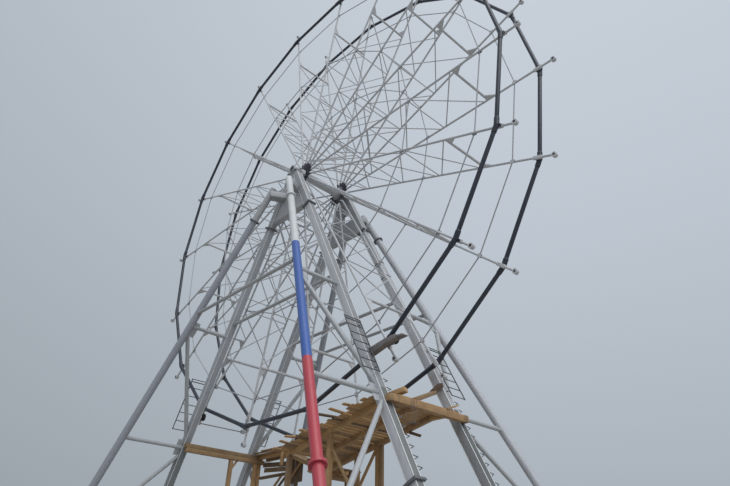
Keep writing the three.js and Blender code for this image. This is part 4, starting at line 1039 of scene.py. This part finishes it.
deck_bm = bmesh.new()
x = FIRST_BOARD_X
while x < TONGUE["to"] - LEAST_BOARD:
    width, gap = chance.choice(BOARD_WIDTHS), chance.choice(BOARD_GAPS)
    near, far = RAMP_NEAR_Y + chance.uniform(-0.2, 0.16), RAMP_FAR_Y + chance.uniform(-0.1, 0.12)
    if x > TONGUE["from"]:
        near = TONGUE["near"]
    elif x < RAMP_FOOT_X:
        share = (RAMP_FOOT_X - x) / SLANT["reach"]
        near = SLANT["start"] + SLANT["rise"] * share + chance.uniform(-0.12, 0.1)
        far = REAR_Y + chance.uniform(-0.1, 0.08)
        if x > LEVEL_END_X:
            far = RAMP_FAR_Y
    ramp_board(deck_bm, x + width / 2, width, near, far, skew=chance.uniform(-0.02, 0.02))
    x += width + gap
edge_y = WALKWAY["near"]
level_z = DECK_LINE[0][1] + BOARD / 2
while edge_y < REAR_Y - LEAST_BOARD:
    width = chance.choice(WALKWAY_WIDTHS)
    y = edge_y + width / 2
    left, joint = WALKWAY["from"] + chance.uniform(0, 0.08), DECK_LINE[0][0] + chance.uniform(-0.25, 0.05)
    timber(deck_bm, (left, y, level_z), (joint, y, level_z), width, BOARD)
    slope_ends = joint + 0.05, DECK_LINE[1][0] - chance.uniform(0.7, 0.95)
    high, low = ((end_x, y, deck_under(end_x) + BOARD / 2) for end_x in slope_ends)
    timber(deck_bm, high, low, width, BOARD, towards=(0.35, 0, 1))
    edge_y += width + WALKWAY_GAP
bearer(deck_bm, "middle", BEARER_FROM["middle"], right_face - FIT)
bearer(deck_bm, "walkway", left_face + BEAM_WIDTH + FIT, BEARER_TO["walkway"], 0.1)
finish_timber("deck_boards", deck_bm, "timber_deck")

# Loose timber on the staging: offcuts and spare boards left on the ramp and the walkway, a plank end
# sticking up past the right beam, and a stay from that beam to a dark block on the far right leg.
OFFCUT_WIDTH = 0.13
# Boards on the ramp: x, near end, length, skew and lift off the deck
RAMP_OFFCUTS = [(4.35, -2.62, 1.5, 0.1, 0.05), (4.72, -2.5, 1.3, -0.06, 0.05), (2.45, -2.42, 1.2, 0.16, 0.05),
                (1.75, -2.3, 1.6, -0.1, 0.06), (3.0, -2.3, 1.1, 0.05, 0.05), (5.3, -2.35, 1.4, 0.03, 0.05)]
# The others: both ends, width, depth, tone and the way that depth lies along
LOOSE_TIMBERS = [
    ((-6.05, 1.72, 7.03), (-4.2, 1.85, 7.04), 0.16, 0.04, 0.9, UP),
    ((-5.3, 1.66, 7.06), (-3.1, 1.98, 7.14), 0.16, 0.04, 0.5, UP),
    ((-4.6, 1.62, 6.98), (-2.9, 1.75, 6.9), 0.16, 0.04, 0.2, UP),
    ((5.9, -1.55, 6.72), (7.05, -1.24, 6.96), 0.24, 0.15, 0.3, UP),
    ((6.93, -0.72, 6.76), (6.17, 1.22, 7.56), 0.16, 0.13, 1.0, UP),
    ((6.16, 1.12, 7.54), (6.09, 1.66, 7.94), 0.22, 0.15, 1.75, UP),
    ((7.05, 0.75, 6.74), (7.1, 1.32, 6.96), 0.1, 0.05, 0.25, UP),
    ((5.12, 0.95, 6.3), (5.3, 1.36, 6.22), 0.12, 0.06, 1.6, (-0.2, 0, 1))]

loose_bm = bmesh.new()
for x, near, length, skew, lift in RAMP_OFFCUTS:
    ramp_board(loose_bm, x, OFFCUT_WIDTH, near, near + length, lift, skew)
for piece in LOOSE_TIMBERS:
    timber(loose_bm, *piece)
finish_timber("loose_boards", loose_bm)

# Trestles: rough posts under the near and the far bearers of the ramp and under the walkway's rear
# bearer, with knee braces, a raking prop, a cross timber, and ties and hanging boards at the walkway.
# The hanging boards and most walkway ties are dark brown: painted shade.
# The posts of each row, by x and tone, and where knees rise from them
NEAR_POSTS, FAR_POSTS = [(1.42, 1.0), (3.7, 0.25)], [(0, 0.9), (2.35, 0.3), (3.5, 0.2)]
REAR_POSTS = [(-4.3, 0.8), (-2.1, 0.9), (0, 0.8)]
FAR_KNEES, REAR_KNEES = [2.35], [-4.3, -2.1]
KNEE_REACH = {"spread": 1.1, "drop": 1.3, "into": 0.8}
NEAR_PROPS = [((3.66, -1.5, 5.75), (5.3, -1.3, 3.4), 0.1, 0.06, 0.6, AXIS),
              ((1.12, -1.62, 5.3), (1.12, -1.6, 5.78), 0.2, 0.05, 0.1, AXIS)]
SECOND_POST = {"x": 3.66, "width": 0.15, "depth": 0.13, "age_and_shade": 0.7}
# Boards that hang behind the rear bearer: x, width and lower end
HANGING_BOARDS = [(-4.05, 0.3, 5.62), (-3.72, 0.26, 5.5), (-3.42, 0.28, 5.66)]
HANGING = {"behind": 0.022, "below_deck": 0.02, "thickness": 0.04, "age_and_shade": 1.6}
WALKWAY_TIES = [((-5.98, 2.2, 5.98), (-4.25, 2.6, 6.09), 0.13, 0.12, 1.5, UP),
                ((-5.9, 2.25, 6.56), (-4.2, 2.52, 6.5), 0.05, 0.2, 1.5, UP),
                ((-5.8, 2.28, 6.33), (-4.2, 2.5, 6.27), 0.05, 0.2, 1.25, UP),
                ((-5.35, 2.4, 5.3), (-4.55, 2.52, 6.12), KNEE, KNEE, 0.8, AXIS),
                ((-5.25, 2.68, 5.45), (-4.0, 2.68, 6.4), KNEE, KNEE, 1.6, AXIS)]


def trestle_row(bm, row, left, right, posts, knees=()):
    """A bearer on posts, given by place and tone, and knee braces that rise to the right of some places."""
    bearer(bm, row, left, right)
    y = BEARER_ROWS[row]
    for x, age_and_shade in posts:
        post(bm, x, y, deck_under(x) - BEARER, age_and_shade)
    for x in knees:
        head_x = x + KNEE_REACH["spread"]
        foot = (x, y, deck_under(x) - BEARER / 2 - KNEE_REACH["drop"])
        head = (head_x, y, deck_under(head_x) - BEARER * KNEE_REACH["into"])
        timber(bm, foot, head, KNEE, KNEE, towards=AXIS)


near_bm = bmesh.new()
trestle_row(near_bm, "near", BEARER_FROM["near"], right_face - FIT, NEAR_POSTS)
for piece in NEAR_PROPS:
    timber(near_bm, *piece)
finish_timber("near_trestle", near_bm, "trestle_near")

far_bm = bmesh.new()
trestle_row(far_bm, "far", BEARER_FROM["far"], right_face - FIT, FAR_POSTS, FAR_KNEES)
x, width, depth, age_and_shade = SECOND_POST.values()
y = BEARER_ROWS["far"]
timber(far_bm, (x, y, 0), (x, y, deck_under(x) - BEARER), width, depth, age_and_shade, AXIS)
trestle_row(far_bm, "rear", BEARER_FROM["rear"], BEARER_TO["rear"], REAR_POSTS, REAR_KNEES)
y, top = BEARER_ROWS["rear"] + BEARER / 2 + HANGING["behind"], DECK_LINE[0][1] - HANGING["below_deck"]
for x, width, bottom in HANGING_BOARDS:
    timber(far_bm, (x, y, bottom), (x, y, top), width, HANGING["thickness"], HANGING["age_and_shade"], AXIS)
for piece in WALKWAY_TIES:
    timber(far_bm, *piece)
tie_z = DECK_LINE[1][1] - BEARER - POST / 2
timber(far_bm, (0, BEARER_ROWS["far"], tie_z), (0, BEARER_ROWS["rear"], tie_z), POST, POST, 0.9)
finish_timber("far_trestle", far_bm, "trestle_far")

# Lashings: nine loops of soft iron wire, wound by hand round the right cross beam. Five are tight, and the
# four on its near half hang slack below it.
WIRE_RADIUS, WIRE_OFF = 0.005, 0.012
TIGHT_LOOPS, LOOSE_LOOPS = (-1.94, -1.88, -1.6, 1.72, 1.8), (-1.05, -0.98, -0.9, -0.8)
# How far the two lower corners of a slack loop go, aside and up
SLACK = [(-0.1, -0.42), (0.02, -0.5)]
half_x, half_z = BEAM_WIDTH / 2 + WIRE_OFF, RIGHT_BEAM["height"] / 2 + WIRE_OFF

wire_bm = bmesh.new()
for y in sorted(TIGHT_LOOPS + LOOSE_LOOPS):
    lean = chance.uniform(-0.03, 0.03)
    loop = [Vector((right_x + sx * half_x, y + lean * sx, right_z + sz * half_z)) for sx, sz in SQUARE]
    if y in LOOSE_LOOPS:
        for corner, (aside, up) in zip(loop, SLACK):
            corner += Vector((aside, lean, up))
    for start, end in round_loop(loop):
        tube(wire_bm, start, end, WIRE_RADIUS, 6)
finish_piece("wire_lashings", wire_bm, [flange_paint], "support", "steel")
